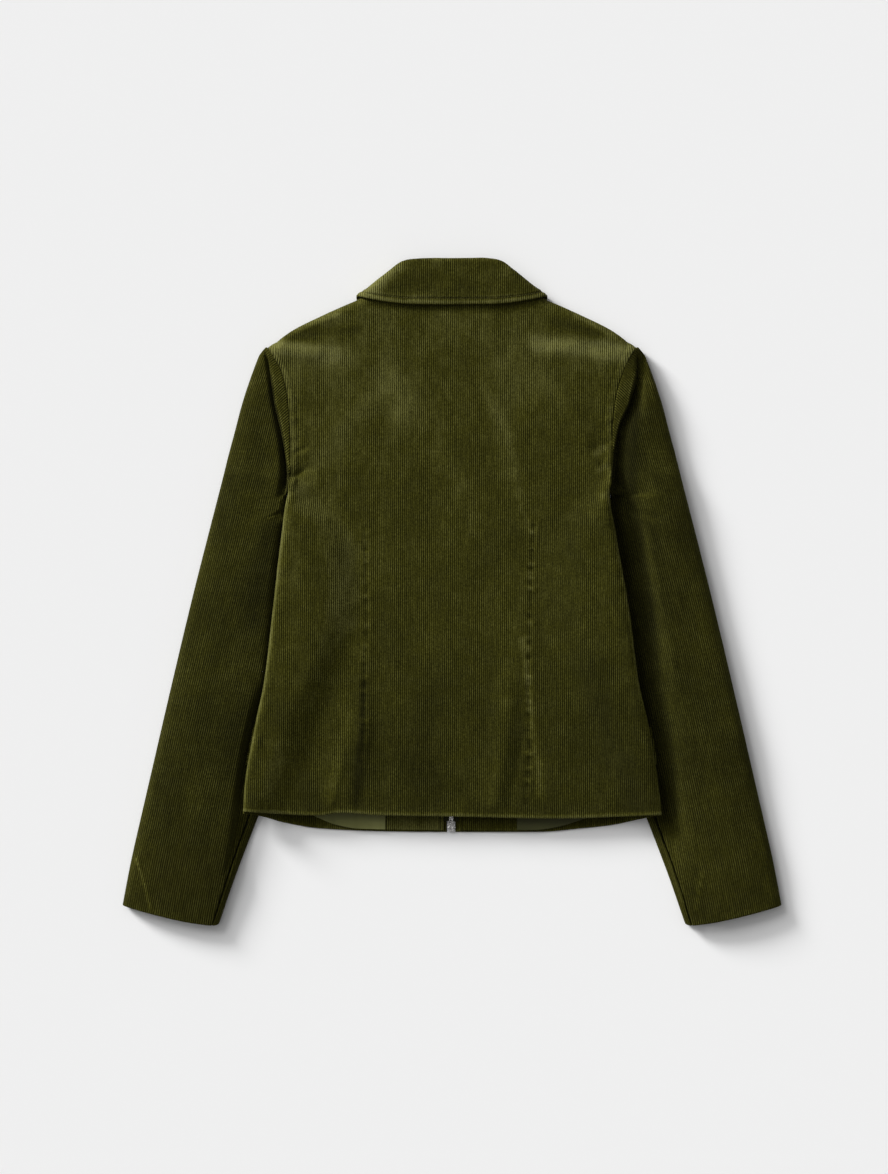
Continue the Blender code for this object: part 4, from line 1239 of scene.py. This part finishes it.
def back_nap_and_light(x, y):
    """Share of brightness over the back, from how the nap lies, with painted highlights and painted
    shade.
    """
    from_edge = edge_distance(x, y)
    from_hem = y - read(BACK_HEM, "y", x, "x")
    total = 1 + folds(x, y, BACK_NAP_AND_LIGHT) + waved("back_tone", x, y)
    total = total + 0.20 * ease(y, *LIGHTER_UP) - 0.26 * ease(y, *DARKER_DOWN) - 0.05 * x / REACH
    # painted light on the left slope over a sleeve and painted shade on the right one
    slope = sleeve_lift(x + 1, y) - sleeve_lift(x - 1, y)
    total = total - np.where(x < 0, *SLOPE_SHADE) * slope * ease(from_edge, 6, 16)
    total = total + sum(dart_sheen(x, y, name) for name in DARTS)
    # painted highlights along the side seams, the hem and the armholes
    total = total + side_share(y) * ridge("side_tone", from_edge) + ridge("hem_tone", from_hem)
    total = total + (1 - side_share(y)) * ridge("armhole_tone", from_edge)
    return np.clip(total, 0.35, 2.4)


# Creases of the left and the right sleeve, and where their nap lies lighter or darker, with painted
# highlights on the creases and painted shade beside the body
LEFT_SLEEVE_CREASES = lines(
    (-341, -285, -332.5, -311, 1.8, 0.9),
    (-332.5, -311, -324, -342, 1.8, 0.8),
    (-337, -288, -320, -342, 3.5, -0.5),
    (-222, 150, -250, 20, 12, 0.8),
    (-205, 120, -232, 0, 9, -0.7),
    (-262, 0, -300, -160, 16, 0.7),
    (-240, -60, -272, -200, 12, -0.6),
    (-290, -180, -318, -300, 14, 0.5),
    (-200, 79.3, -184, 82.5, 4.2, 2.9),
)
RIGHT_SLEEVE_CREASES = lines(
    (262, -344, 270, -300, 2.2, 0.8),
    (266, -346, 276, -310, 3.5, -0.5),
    (224, 150, 252, 10, 12, 0.8),
    (206, 116, 236, -10, 9, -0.7),
    (268, -20, 304, -180, 16, 0.7),
    (240, -80, 270, -220, 12, -0.5),
    (296, -190, 322, -310, 14, 0.5),
    (188, 84, 203, 79.5, 3.6, -1.9),
    (207, 84.5, 214, 84.5, 4, 1.2),
)
LEFT_SLEEVE_NAP_AND_LIGHT = lines(
    (-341, -285, -332.5, -311, 1.6, 1.1),
    (-332.5, -311, -324, -342, 1.6, 0.8),
    (-206, 230, -232, 130, 10, 0.15),
    (-215, 110, -245, -20, 12, 0.16),
    (-196, 80, -214, -40, 12, -0.22),
    (-262, -40, -300, -200, 16, 0.10),
    (-226, -120, -250, -240, 14, -0.18),
    (-300, -240, -290, -330, 22, 0.08),
    # painted light where the sleeve meets the body below the armhole, against the shading there
    (-183, 103, -186, 78, 4, 0.70),
    (-200, 79.3, -186, 82.5, 3, 0.45),
)
RIGHT_SLEEVE_NAP_AND_LIGHT = lines(
    (262, -344, 270, -300, 1.8, 0.6),
    (200, 200, 206, 120, 12, -0.25),
    (210, 90, 234, -40, 14, -0.25),
    (238, -60, 262, -220, 14, -0.16),
    (262, 20, 300, -160, 14, 0.12),
    (300, -200, 318, -320, 14, 0.14),
    (330, -250, 348, -330, 8, 0.2),
)
SLEEVE_CREASES = {-1: LEFT_SLEEVE_CREASES, 1: RIGHT_SLEEVE_CREASES}
SLEEVE_NAP_AND_LIGHT = {-1: LEFT_SLEEVE_NAP_AND_LIGHT, 1: RIGHT_SLEEVE_NAP_AND_LIGHT}

# The valley beside the body, where a shadow is painted: its width and how much darker it is
VALLEY_SHADOW = table(
    "y left right left_shade right_shade",
    (240, 2, 2, 0, 0), (215, 7, 10, 0.70, 0.50), (170, 9, 24, 0.75, 0.66), (120, 8, 30, 0.75, 0.66),
    (100, 4, 30, 0, 0.56), (-120, 4, 25, 0, 0.48), (-235, 4, 19, 0, 0.42), (-255, 4, 12, 0, 0),
)
SLEEVE_SLANT = np.radians(13.0)     # of a sleeve's ribs from the body's
STRIP_SLANT = np.radians(45.0)      # and of those on the strip beside the armhole
STRIP_END = (1.0, 2.5)  # how far past the strip the one turns into the other
STRIP_HIGHLIGHT = 0.16       # how much lighter that strip is painted, a painted highlight, and along y where this fades
STRIP_LOWER_END = (112, 130)
STRIP_UPPER_END = (250, 232)

# How much darker the sleeves are than the back, along y
SLEEVE_TONE = table(
    "y left right",
    (250, 0.78, 0.82), (100, 0.70, 0.80), (-60, 0.60, 0.71), (-230, 0.64, 0.70), (-340, 0.66, 0.70),
)


# ---------------------------------------------------------------- cloth pieces


def finish_cloth(piece, node):
    """Hangs a cloth piece on the jacket's body and hides the CAD part that it stands for."""
    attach(piece, "jacket")
    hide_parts(node)


ROWS = fine_rows()


def whole(left, right):
    """Two half grids that start from the middle, as one grid from left to right."""
    return np.concatenate([left[:, :0:-1], right], axis=1)


def flat_across(grid, middle_column):
    """Distance across the cloth from a column of the grid, along its rows."""
    length = arc(grid)
    return length - length[:, middle_column:middle_column + 1]


def rolled_across(grid):
    """Place across a panel: x, and beyond the roll to the seam the way down it as well."""
    x = grid[:, :, 0]
    steps = np.linalg.norm(np.diff(grid[:, :, [0, 2]], axis=1), axis=2)
    drop = np.concatenate([np.zeros((len(grid), 1)), np.cumsum(steps, axis=1)], axis=1)
    way = np.abs(x - x[:, :1])
    return x + np.sign(x[:, -1:] - x[:, :1]) * (drop - way)


# How far the back and a sleeve each reach into the groove between them
ARMHOLE_CLOSING = table("y reach", (108, 0.75), (215, 0.75), (245, 1.3), (262, 1.6))
BACK_CLOSING = 6.0      # and how far from its edge each starts to
SLEEVE_CLOSING = 5.0


def build_back():
    columns = fine_columns(BACK_COLUMNS, DART_COLUMNS)
    left, right = (half_panel(side, columns, BACK, ROWS) for side in (-1, 1))
    grid = whole(left, right)
    across = whole(rolled_across(left), rolled_across(right))
    x, y = grid[:, :, 0], grid[:, :, 1]
    grid = raised(grid, back_relief(x, y))
    closing = (1 - side_share(y)) * np.clip(1 - edge_distance(x, y) / BACK_CLOSING, 0, 1)
    grid[:, :, 0] += read(ARMHOLE_CLOSING, "reach", y) * np.sign(x) * closing
    piece = cloth("back_panel", grid, CLOTH, CORDUROY, across, y, back_nap_and_light(x, y), back_seams(x, y))
    finish_cloth(piece, "back")


def cloth_below(name, side, grid, thickness, finish, *marks):
    """A wall of cloth on one side that faces the floor, its marks not turned over yet."""
    return cloth(name, grid, thickness, finish, *(down_facing(mark, side) for mark in marks))


def front_relief(x, y):
    """A front only dents upward, because its outer face rests on the floor."""
    from_edge = edge_distance(x, y)
    away = np.abs(x - ZIP_X)
    total = waved("front", x, y) - 0.2
    total = total + puckered("front_side", from_edge, y) * side_share(y)
    total = np.minimum(total, 0) * ease(from_edge, 0, 6) * ease(away, 4, 9)
    return total + ridge("front_stitching", away)


def build_front(side, word):
    plain = half_panel(side, fine_columns(FRONT_COLUMNS), FRONT, ROWS)
    x, y = plain[:, :, 0], plain[:, :, 1]
    grid = raised(down_facing(plain, side), down_facing(front_relief(x, y), side))
    grid[:, :, 2] = np.maximum(grid[:, :, 2], 0)
    from_hem = y - read(FRONT_HEM, "y", x, "x")
    # painted highlight along the front's hem
    marks = rolled_across(plain), y, 0.9 + waved("front_tone", x, y) + ridge("front_hem_tone", from_hem)
    piece = cloth_below("front_panel_" + word, side, grid, CLOTH, CORDUROY, *marks)
    node = "front_" + word
    finish_cloth(piece, node)
    return plain


HEM_SPREAD = 32.0       # how far above the hem a lining is shortened
TURN_UP = table(
    "x depth",
    (-226, 18), (-160, 16), (-146, 12), (-125, 5), (-100, 2), (87, 2), (112, 4), (142, 10),
    (165, 18), (226, 20),
)


def to_hem(grid, inset):
    """A grid whose last rows end an inset short of the hem."""
    moved = grid.copy()
    from_last = grid[:, :, 1] - grid[-1:, :, 1]
    moved[:, :, 1] += inset * np.clip(1 - from_last / HEM_SPREAD, 0, 1)
    return moved


def first_row(part, inset=0):
    """The first fine row at or below a control row."""
    return next(at for at, row in enumerate(ROWS) if row[0] >= part and row[1] >= inset)


def build_tape(front, side, word):
    tape = strip(on_front(front, side, CLOTH + SEAM_GAP), side, TAPE_PLACES)
    tape[:, 0, 0] = ZIP_X + side * SEAM_GAP / 2
    tape = tape[tape[:, 0, 1] > SLIDER_Y + SLIDER_LENGTH / 2 + SEAM_GAP]
    marks = tape[:, :, 0], tape[:, :, 1]
    grid = down_facing(tape, side)
    piece = cloth_below("zip_tape_cloth_" + word, side, grid, TAPE_CLOTH, TAPE, *marks)
    node = "zip_tape_" + word
    finish_cloth(piece, node)
    return tape


# painted light on the left facing and painted shade on the right one
FACING_LIGHT_AND_SHADE = {-1: 1.45, 1: 0.95}
FACING_DOWN = 30.0      # from the zip to where a facing lies on its front again, past the tape


def build_facing(front, side, word):
    on_cloth = CLOTH + SEAM_GAP
    places = np.linspace(FACING_EDGE, FACING_END, FACING_COUNT)
    low = strip(on_front(front, side, on_cloth), side, places)
    high = strip(on_front(front, side, on_cloth + TAPE_CLOTH + SEAM_GAP), side, places)
    share = np.clip((FACING_DOWN - places) / (FACING_DOWN - TAPE_END - 1), 0, 1)[None, :, None]
    grid = to_hem((high * share + low * (1 - share))[first_row(0, TOP_INSETS[1]):], HEM_INSET)
    x, y = grid[:, :, 0], grid[:, :, 1]
    away = np.abs(x - ZIP_X)
    height = waved("facing", x, y) + ridge("facing_stitching", away)
    grid = raised(down_facing(grid, side), down_facing(height, side))
    # painted highlights along the facing's hem and its edge
    tone = FACING_LIGHT_AND_SHADE[side] + ridge("facing_hem_tone", y - y[-1:])
    marks = x, y, tone + ridge("facing_edge_tone", away), away - FACING_STITCH
    piece = cloth_below("facing_cloth_" + word, side, grid, FACING_CLOTH, CORDUROY, *marks)
    node = "facing_" + word
    finish_cloth(piece, node)


# painted light on the left lining and painted shade on the right one
LINING_LIGHT_AND_SHADE = {-1: 1.50, 1: 0.60}
WELT_TONE = 1.25


def build_lining(front, side, word):
    under = on_front(front, side, CLOTH + SEAM_GAP + LINING_EASE)
    ends = side * (under[:, -1, 0] - ZIP_X) + LINING_END
    places = np.linspace(FACING_END + SEAM_GAP, ends, LINING_COUNT, axis=1)
    grid = strip(under, side, places)[first_row(PANEL_PARTS[0]):]
    grid = to_hem(grid, read(TURN_UP, "depth", grid[-1, :, 0], "x"))
    x, y = grid[:, :, 0], grid[:, :, 1]
    height = np.minimum(waved("lining", x, y, side) - 0.35, 0.4)
    grid = raised(down_facing(grid, side), down_facing(height, side))
    marks = x, y, LINING_LIGHT_AND_SHADE[side] + 0 * x
    piece = cloth_below("lining_cloth_" + word, side, grid, LINING_CLOTH, LINING, *marks)
    node = "lining_" + word
    finish_cloth(piece, node)


def build_welt(side, word):
    y = np.linspace(WELT_TOP, WELT_BOTTOM, WELT_ROWS)
    reach = np.abs(edge_x(y, side))
    start = reach - WELT_DEPTH
    away = np.linspace(start, reach + WELT_PROUD, WELT_COLUMNS, axis=1)
    under = front_z(side * start, y) - WELT_DROP
    grid = np.stack(np.broadcast_arrays(side * away, y[:, None], under[:, None]), axis=2)
    if side < 0:
        grid = grid[:, ::-1]
    x, y = grid[:, :, 0], grid[:, :, 1]
    piece = cloth("welt_cloth_" + word, grid, WELT_CLOTH, CORDUROY, x, y, WELT_TONE + 0 * x)
    node = "pocket_welt_" + word
    finish_cloth(piece, node)


def past_strip(x, y):
    """How far outside the strip beside the armhole a place on a sleeve is."""
    return -edge_distance(x, y) - of_side(PLEAT_STRIP, x, y)


def slanted_ribs(x, y, side, across, along):
    """Place on the flat cloth, with the ribs of the strip beside the armhole turned."""
    share = (1 - ease(past_strip(x, y), *STRIP_END)) * ease(y, UNDERARM_Y, UNDERARM_Y + 12)
    turned_across = x * np.cos(STRIP_SLANT) + side * y * np.sin(STRIP_SLANT)
    turned_along = y * np.cos(STRIP_SLANT) - side * x * np.sin(STRIP_SLANT)
    return across + share * (turned_across - across), along + share * (turned_along - along)


def sleeve_finish(grid, side, later, across):
    """Relief and nap of a sleeve piece, with its painted highlights and painted shadow."""
    x, y = grid[:, :, 0], grid[:, :, 1]
    up = np.clip(face_normals(grid)[:, :, 2], 0, 1)
    from_cuff = arc(grid.transpose(1, 0, 2)).T
    from_cuff = from_cuff[-1:] - from_cuff
    height = folds(x, y, SLEEVE_CREASES[side]) + waved("sleeve", across, y, later)
    height = up * (height + ridge("cuff", from_cuff))
    # painted highlights and shade on the sleeve's upward faces, and a painted highlight along the cuff
    tone = 1 + waved("sleeve_tone", across, y, later) + 1.25 * up * folds(x, y, SLEEVE_NAP_AND_LIGHT[side])
    tone = tone * of_side(SLEEVE_TONE, x, y) + ridge("cuff_tone", from_cuff)
    from_strip = past_strip(x, y)
    # painted highlight on the strip beside the armhole and on its folded edge
    beside = ease(y, *STRIP_LOWER_END) * ease(y, *STRIP_UPPER_END)
    on_strip = STRIP_HIGHLIGHT * ease(from_strip, -0.5, -1.5)
    tone = tone + beside * (ridge("pleat_tone", from_strip) + on_strip)
    # painted shadow in the valley beside the body
    valley = of_side(VALLEY_SHADOW, x, y)
    shade = ease(from_strip, -1, 1) * (1 - ease(from_strip, valley - 5, valley + 3))
    tone = tone * (1 - of_side(VALLEY_SHADOW, x, y, "_shade") * shade)
    return height, np.clip(tone, 0.3, 2.2)


def build_sleeve(side, word):
    control = [cap_row(side, *row) for row in ARMHOLE_ROWS]
    control += [tube_row(side, y, top_angles(side, y)) for y in TUBE_ROWS]
    control = np.array(control)
    index = np.broadcast_to(np.arange(control.shape[1], dtype=float), control.shape[:2])
    fine = smooth_grid(np.concatenate([control, index[:, :, None]], axis=2))
    outer_fold = UNDERARM_ANGLES.index(0)
    middle = int(np.argmin(np.abs(fine[0, :, 3] - outer_fold)))
    grid = fine[:, :, :3]
    across = flat_across(grid, middle) * np.cos(SLEEVE_SLANT)
    if side < 0:
        grid = grid[:, ::-1]
        across = across[:, ::-1]
    height, tone = sleeve_finish(grid, side, side, across)
    x, along = grid[:, :, 0].copy(), grid[:, :, 1].copy()
    place = slanted_ribs(x, along, side, across, along)
    grid = raised(grid, height)
    from_seam = arc(grid)
    from_seam = from_seam[:, -1:] - from_seam if side < 0 else from_seam
    closing = ease(along, UNDERARM_Y - 4, UNDERARM_Y + 2)
    closing = closing * np.clip(1 - from_seam / SLEEVE_CLOSING, 0, 1)
    grid[:, :, 0] -= read(ARMHOLE_CLOSING, "reach", along) * side * closing
    piece = cloth("sleeve_top_cloth_" + word, grid, CLOTH, CORDUROY, *place, tone)
    node = "sleeve_top_" + word
    finish_cloth(piece, node)

    under = smooth_grid(np.array([tube_row(side, y, UNDER_SLEEVE_ANGLES) for y in TUBE_ROWS]))
    across = flat_across(under, under.shape[1] // 2)
    if side > 0:
        under = under[:, ::-1]
        across = across[:, ::-1]
    _, tone = sleeve_finish(under, side, UNDER_SLEEVE_SEED + side, across)
    along = under[:, :, 1]
    piece = cloth("sleeve_under_cloth_" + word, under, CLOTH, CORDUROY, across, along, tone)
    node = "sleeve_under_" + word
    finish_cloth(piece, node)


# ---------------------------------------------------------------- collar

# Where the collar's nap lies lighter or darker, with a painted highlight at its left end
COLLAR_NAP_AND_LIGHT = lines(
    (-98, 319, -70, 342, 9, 1.15),
    (-70, 342, -50, 352, 8, 0.75),
    (-50, 316, -20, 314, 5, 0.25),
    (40, 348, 62, 338, 8, 0.15),
    (60, 318, 92, 322, 6, -0.15),
)
COLLAR_STEPS = (3.4, 2.0)   # round the neck, and from the neck to the edge
FOLD_STATION = 0.5
FOLD_WIDTH = 0.06       # on both sides of it, where the part below is turned over
UPPER_COLLAR_Z = 8.0    # what is higher lies on the back


def across_collar(grid, station, side):
    """Place across the collar's flat cloth: x on the part that lies on the back, and the same for
    the part below once it is turned over at the fold."""
    fold = {name: float(read(COLLAR, name, FOLD_STATION, "at")) for name in COLLAR}
    start = np.array([side * fold["roll_x"], fold["roll_y"]])
    way = np.array([side * fold["edge_x"], fold["edge_y"]]) - start
    way /= np.linalg.norm(way)
    flat = grid[:, :, :2] - start
    turned = 2 * (flat @ way)[:, :, None] * way - flat + start
    share = ease(station, FOLD_STATION - FOLD_WIDTH, FOLD_STATION + FOLD_WIDTH)[:, :, None]
    place = grid[:, :, :2] * (1 - share) + turned * share
    return place[:, :, 0], place[:, :, 1]


def build_collar(back, front_left, front_right):
    stations = np.array(COLLAR_STATIONS, float)
    halves = []
    for side, front in ((-1, front_left), (1, front_right)):
        half = collar_half(side, neck_line(side, back, front))
        marks = np.broadcast_to((side * stations)[:, None, None], (*half.shape[:2], 1))
        halves.append(np.concatenate([half, marks], axis=2))
    control = np.concatenate([halves[1][:0:-1], halves[0]])
    fine = smooth_grid(control, *COLLAR_STEPS)
    middle = np.ascontiguousarray(fine[:, :, :3])
    station = np.abs(fine[:, :, 3])
    side = np.where(fine[:, :1, 3] >= 0, 1, -1)
    right = across_collar(middle, station, 1)
    left = across_collar(middle, station, -1)
    across = np.where(side > 0, right[0], left[0])
    along = np.where(side > 0, right[1], left[1])
    outer = moved_in(middle, -COLLAR_CLOTH / 2)
    from_edge = arc(outer)
    from_edge = from_edge[:, -1:] - from_edge
    up = outer[:, :, 2] > UPPER_COLLAR_Z
    height = sum(ridge("collar_" + kind, from_edge) for kind in ("edge", "groove", "ridge"))
    height = height + puckered("collar", from_edge, across) + waved("collar", across, along)
    height = height * ease(from_edge, 70, 44) * np.where(up, 1, 0.3)
    tone = 0.94 + waved("collar_tone", across, along)
    # painted highlights along the collar's edge and its stitched ridge
    tone = tone + ridge("collar_edge_tone", from_edge) + ridge("collar_ridge_tone", from_edge)
    tone = tone + up * folds(outer[:, :, 0], outer[:, :, 1], COLLAR_NAP_AND_LIGHT)
    tone = tone + 0.12 * ease(from_edge, 26, 42) * ease(from_edge, 62, 46)
    outer = raised(outer, height)
    outer[:, :, 2] = np.maximum(outer[:, :, 2], 0)
    seam = np.abs(from_edge - COLLAR_STITCH)
    piece = cloth("collar_cloth", outer, COLLAR_CLOTH, CORDUROY, across, along, tone, seam)
    finish_cloth(piece, "collar")
    return outer, from_edge


# ---------------------------------------------------------------- sewing and zip

STITCH_PITCH = 3.2
STITCH_LENGTH = 2.4
STITCH_RADIUS = 0.24
STITCH_PROUD = 0.1
SPINDLE = ((-0.5, 0.35), (-0.28, 0.95), (0.28, 0.95), (0.5, 0.35))  # along, share of the radius
SPINDLE_SIDES = 6


def on_line(points, at):
    """Points at given lengths along a line of points."""
    steps = np.linalg.norm(np.diff(points, axis=0), axis=1)
    length = np.concatenate([[0], np.cumsum(steps)])
    return np.stack([np.interp(at, length, points[:, axis]) for axis in range(3)], axis=1)


def stitch_line(name, points):
    """Stitches laid end to end along a line of points."""
    total = np.linalg.norm(np.diff(points, axis=0), axis=1).sum()
    starts = np.arange(STITCH_PITCH / 2, total - STITCH_PITCH, STITCH_PITCH)
    middle = on_line(points, starts)
    ahead = on_line(points, starts + 0.5) - on_line(points, starts - 0.5)
    ahead /= np.linalg.norm(ahead, axis=1, keepdims=True)
    aside = np.cross(ahead, (0, 0, 1))
    aside /= np.linalg.norm(aside, axis=1, keepdims=True)
    over = np.cross(aside, ahead)
    turns = np.arange(SPINDLE_SIDES) * 2 * np.pi / SPINDLE_SIDES
    rings = []
    for along, share in SPINDLE:
        for turn in turns:
            reach = STITCH_RADIUS * share
            rings.append(
                middle + ahead * along * STITCH_LENGTH
                + aside * reach * np.cos(turn) + over * reach * np.sin(turn)
            )
    points = np.stack(rings, axis=1)
    faces = []
    for ring in range(len(SPINDLE) - 1):
        for first in range(SPINDLE_SIDES):
            second = (first + 1) % SPINDLE_SIDES
            low = ring * SPINDLE_SIDES
            high = low + SPINDLE_SIDES
            faces.append((low + first, high + first, high + second, low + second))
    caps = [list(range(SPINDLE_SIDES)), list(range(len(rings) - SPINDLE_SIDES, len(rings)))[::-1]]
    made = []
    for stitch in range(len(middle)):
        shift = stitch * len(rings)
        made += [tuple(corner + shift for corner in face) for face in faces + caps]
    piece = mesh_object(name, points.reshape(-1, 3), made, THREAD)
    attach(piece, "jacket")


def stitch_collar(outer, from_edge):
    """The line of stitching inside the collar's edge."""
    line = []
    for row, away in zip(outer, from_edge):
        line.append([np.interp(-COLLAR_STITCH, -away, row[:, axis]) for axis in range(3)])
    line = np.array(line)
    out = np.where(line[:, 2:3] > UPPER_COLLAR_Z, 1, -1) * np.array([0, 0, STITCH_PROUD])
    stitch_line("collar_stitching", line + out)


TOOTH = ((-1.6, 0.45), (1.2, 0.45), (1.5, 0.0), (1.2, -0.45), (-1.6, -0.45))    # across, along
TOOTH_FACES = (-1.3, 1.3)
TOOTH_PITCH = 2.6
TOOTH_PLACE = 0.55      # from the middle of the zip


def tooth_mesh(places, side):
    """A row of zip teeth: small rounded blocks that reach over the middle."""
    points = []
    faces = []
    for x, y, z in places:
        start = len(points)
        for height in TOOTH_FACES:
            points += [(x - side * across, y + along, z + height) for across, along in TOOTH]
        count = len(TOOTH)
        ring = range(count)
        faces.append([start + at for at in ring][::side])
        faces.append([start + count + at for at in ring][::-side])
        for at in ring:
            after = (at + 1) % count
            corners = (start + at, start + count + at, start + count + after, start + after)
            faces.append(corners[::side])
    return points, faces


def build_teeth(tape, side, word):
    line = tape[:, 0]
    ys = np.arange(line[:, 1].min() + 1, line[:, 1].max() - 2, TOOTH_PITCH)
    ys = ys + (TOOTH_PITCH / 2 if side > 0 else 0)
    z = np.interp(-ys, -line[:, 1], line[:, 2]) + TAPE_CLOTH / 2
    places = [(ZIP_X + side * TOOTH_PLACE, y, height) for y, height in zip(ys, z)]
    piece = mesh_object("zip_teeth_" + word, *tooth_mesh(places, side), METAL)
    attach(piece, "jacket")


ROUND_ANGLE = np.radians(35)     # a sharper edge of the hardware is rounded


def rounded_copy(node, name, body, width):
    """A CAD node's own shape with its edges rounded."""
    made = bpy.data.objects.new(name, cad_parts[node].data.copy())
    bpy.context.scene.collection.objects.link(made)
    made.data.materials.clear()
    made.data.materials.append(METAL)
    bevel = made.modifiers.new("round", "BEVEL")
    bevel.width = width * MM
    bevel.segments = 3
    bevel.limit_method = "ANGLE"
    bevel.angle_limit = ROUND_ANGLE
    made.data.shade_smooth()
    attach(made, body)
    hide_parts(node)


# ---------------------------------------------------------------- the whole jacket


def build_jacket():
    build_back()
    back = whole(*(half_panel(side, BACK_COLUMNS, BACK) for side in (-1, 1)))
    fronts = []
    for side, word in ((-1, "left"), (1, "right")):
        front = build_front(side, word)
        build_teeth(build_tape(front, side, word), side, word)
        build_facing(front, side, word)
        build_lining(front, side, word)
        build_welt(side, word)
        build_sleeve(side, word)
        fronts.append(half_panel(side, FRONT_COLUMNS, FRONT))
    stitch_collar(*build_collar(back, *fronts))
    rounded_copy("zip_slider", "slider_body", "jacket", 0.3)
    rounded_copy("zip_pull", "slider_pull", "pull", 0.15)
    rounded_copy("zip_box", "zip_end_box", "jacket", 0.3)


build_jacket()


# ---------------------------------------------------------------- floor, light and camera

PHOTO_HEIGHT = 1174
PIXEL = 1.08            # millimetres of the floor in one pixel of the photograph
VIEW_CENTRE = (-8.7, 5.3)
CAMERA_HEIGHT = 6000.0
SENSOR = 36.0
FLOOR = 30.0            # half its size in metres
FLOOR_GAP = 0.2         # how far it is below the jacket
FLOOR_COLOUR = (0.83, 0.83, 0.83)


def add_floor():
    mesh = bpy.data.meshes.new("floor")
    corners = [(x * FLOOR, y * FLOOR, 0) for x, y in ((-1, -1), (1, -1), (1, 1), (-1, 1))]
    mesh.from_pydata(corners, [], [(0, 1, 2, 3)])
    made = bpy.data.objects.new("floor", mesh)
    made.location.z = -FLOOR_GAP * MM
    g = Graph("floor_paint")
    g.set(Base_Color=(*FLOOR_COLOUR, 1), Roughness=0.95, Specular_IOR_Level=0.1)
    mesh.materials.append(g.material)
    bpy.context.scene.collection.objects.link(made)


def add_light(name, toward, strength, angle):
    """A light far away that shines along a direction."""
    data = bpy.data.lights.new(name, "SUN")
    data.energy = strength
    data.angle = angle
    made = bpy.data.objects.new(name, data)
    made.rotation_euler = Vector(toward).to_track_quat("-Z", "Y").to_euler()
    made.location = -Vector(toward).normalized() * 3
    bpy.context.scene.collection.objects.link(made)


# Far lights: the way each shines, its strength and how wide it is in degrees
LIGHTS = {
    "key": ((0.74, -0.64, -0.32), 4.2, 15),
    "upper_key": ((0.74, -0.64, -0.66), 1.6, 34),
    "fill": ((0.30, -0.25, -1.0), 0.70, 80),
}
SKY_STRENGTH = 0.135


def add_lights():
    for name, (toward, strength, angle) in LIGHTS.items():
        add_light(name, toward, strength, np.radians(angle))
    world = bpy.data.worlds.new("studio")
    world.use_nodes = True
    sky = world.node_tree.nodes["Background"]
    sky.inputs["Color"].default_value = (1, 1, 1, 1)
    sky.inputs["Strength"].default_value = SKY_STRENGTH
    bpy.context.scene.world = world


def add_camera():
    data = bpy.data.cameras.new("camera")
    data.sensor_fit = "VERTICAL"
    data.sensor_height = SENSOR
    data.lens = SENSOR * CAMERA_HEIGHT / (PHOTO_HEIGHT * PIXEL)
    data.clip_end = 100
    made = bpy.data.objects.new("camera", data)
    made.location = (VIEW_CENTRE[0] * MM, VIEW_CENTRE[1] * MM, CAMERA_HEIGHT * MM)
    bpy.context.scene.collection.objects.link(made)
    bpy.context.scene.camera = made


add_floor()
add_lights()
add_camera()
bpy.context.scene.view_settings.view_transform = "Standard"
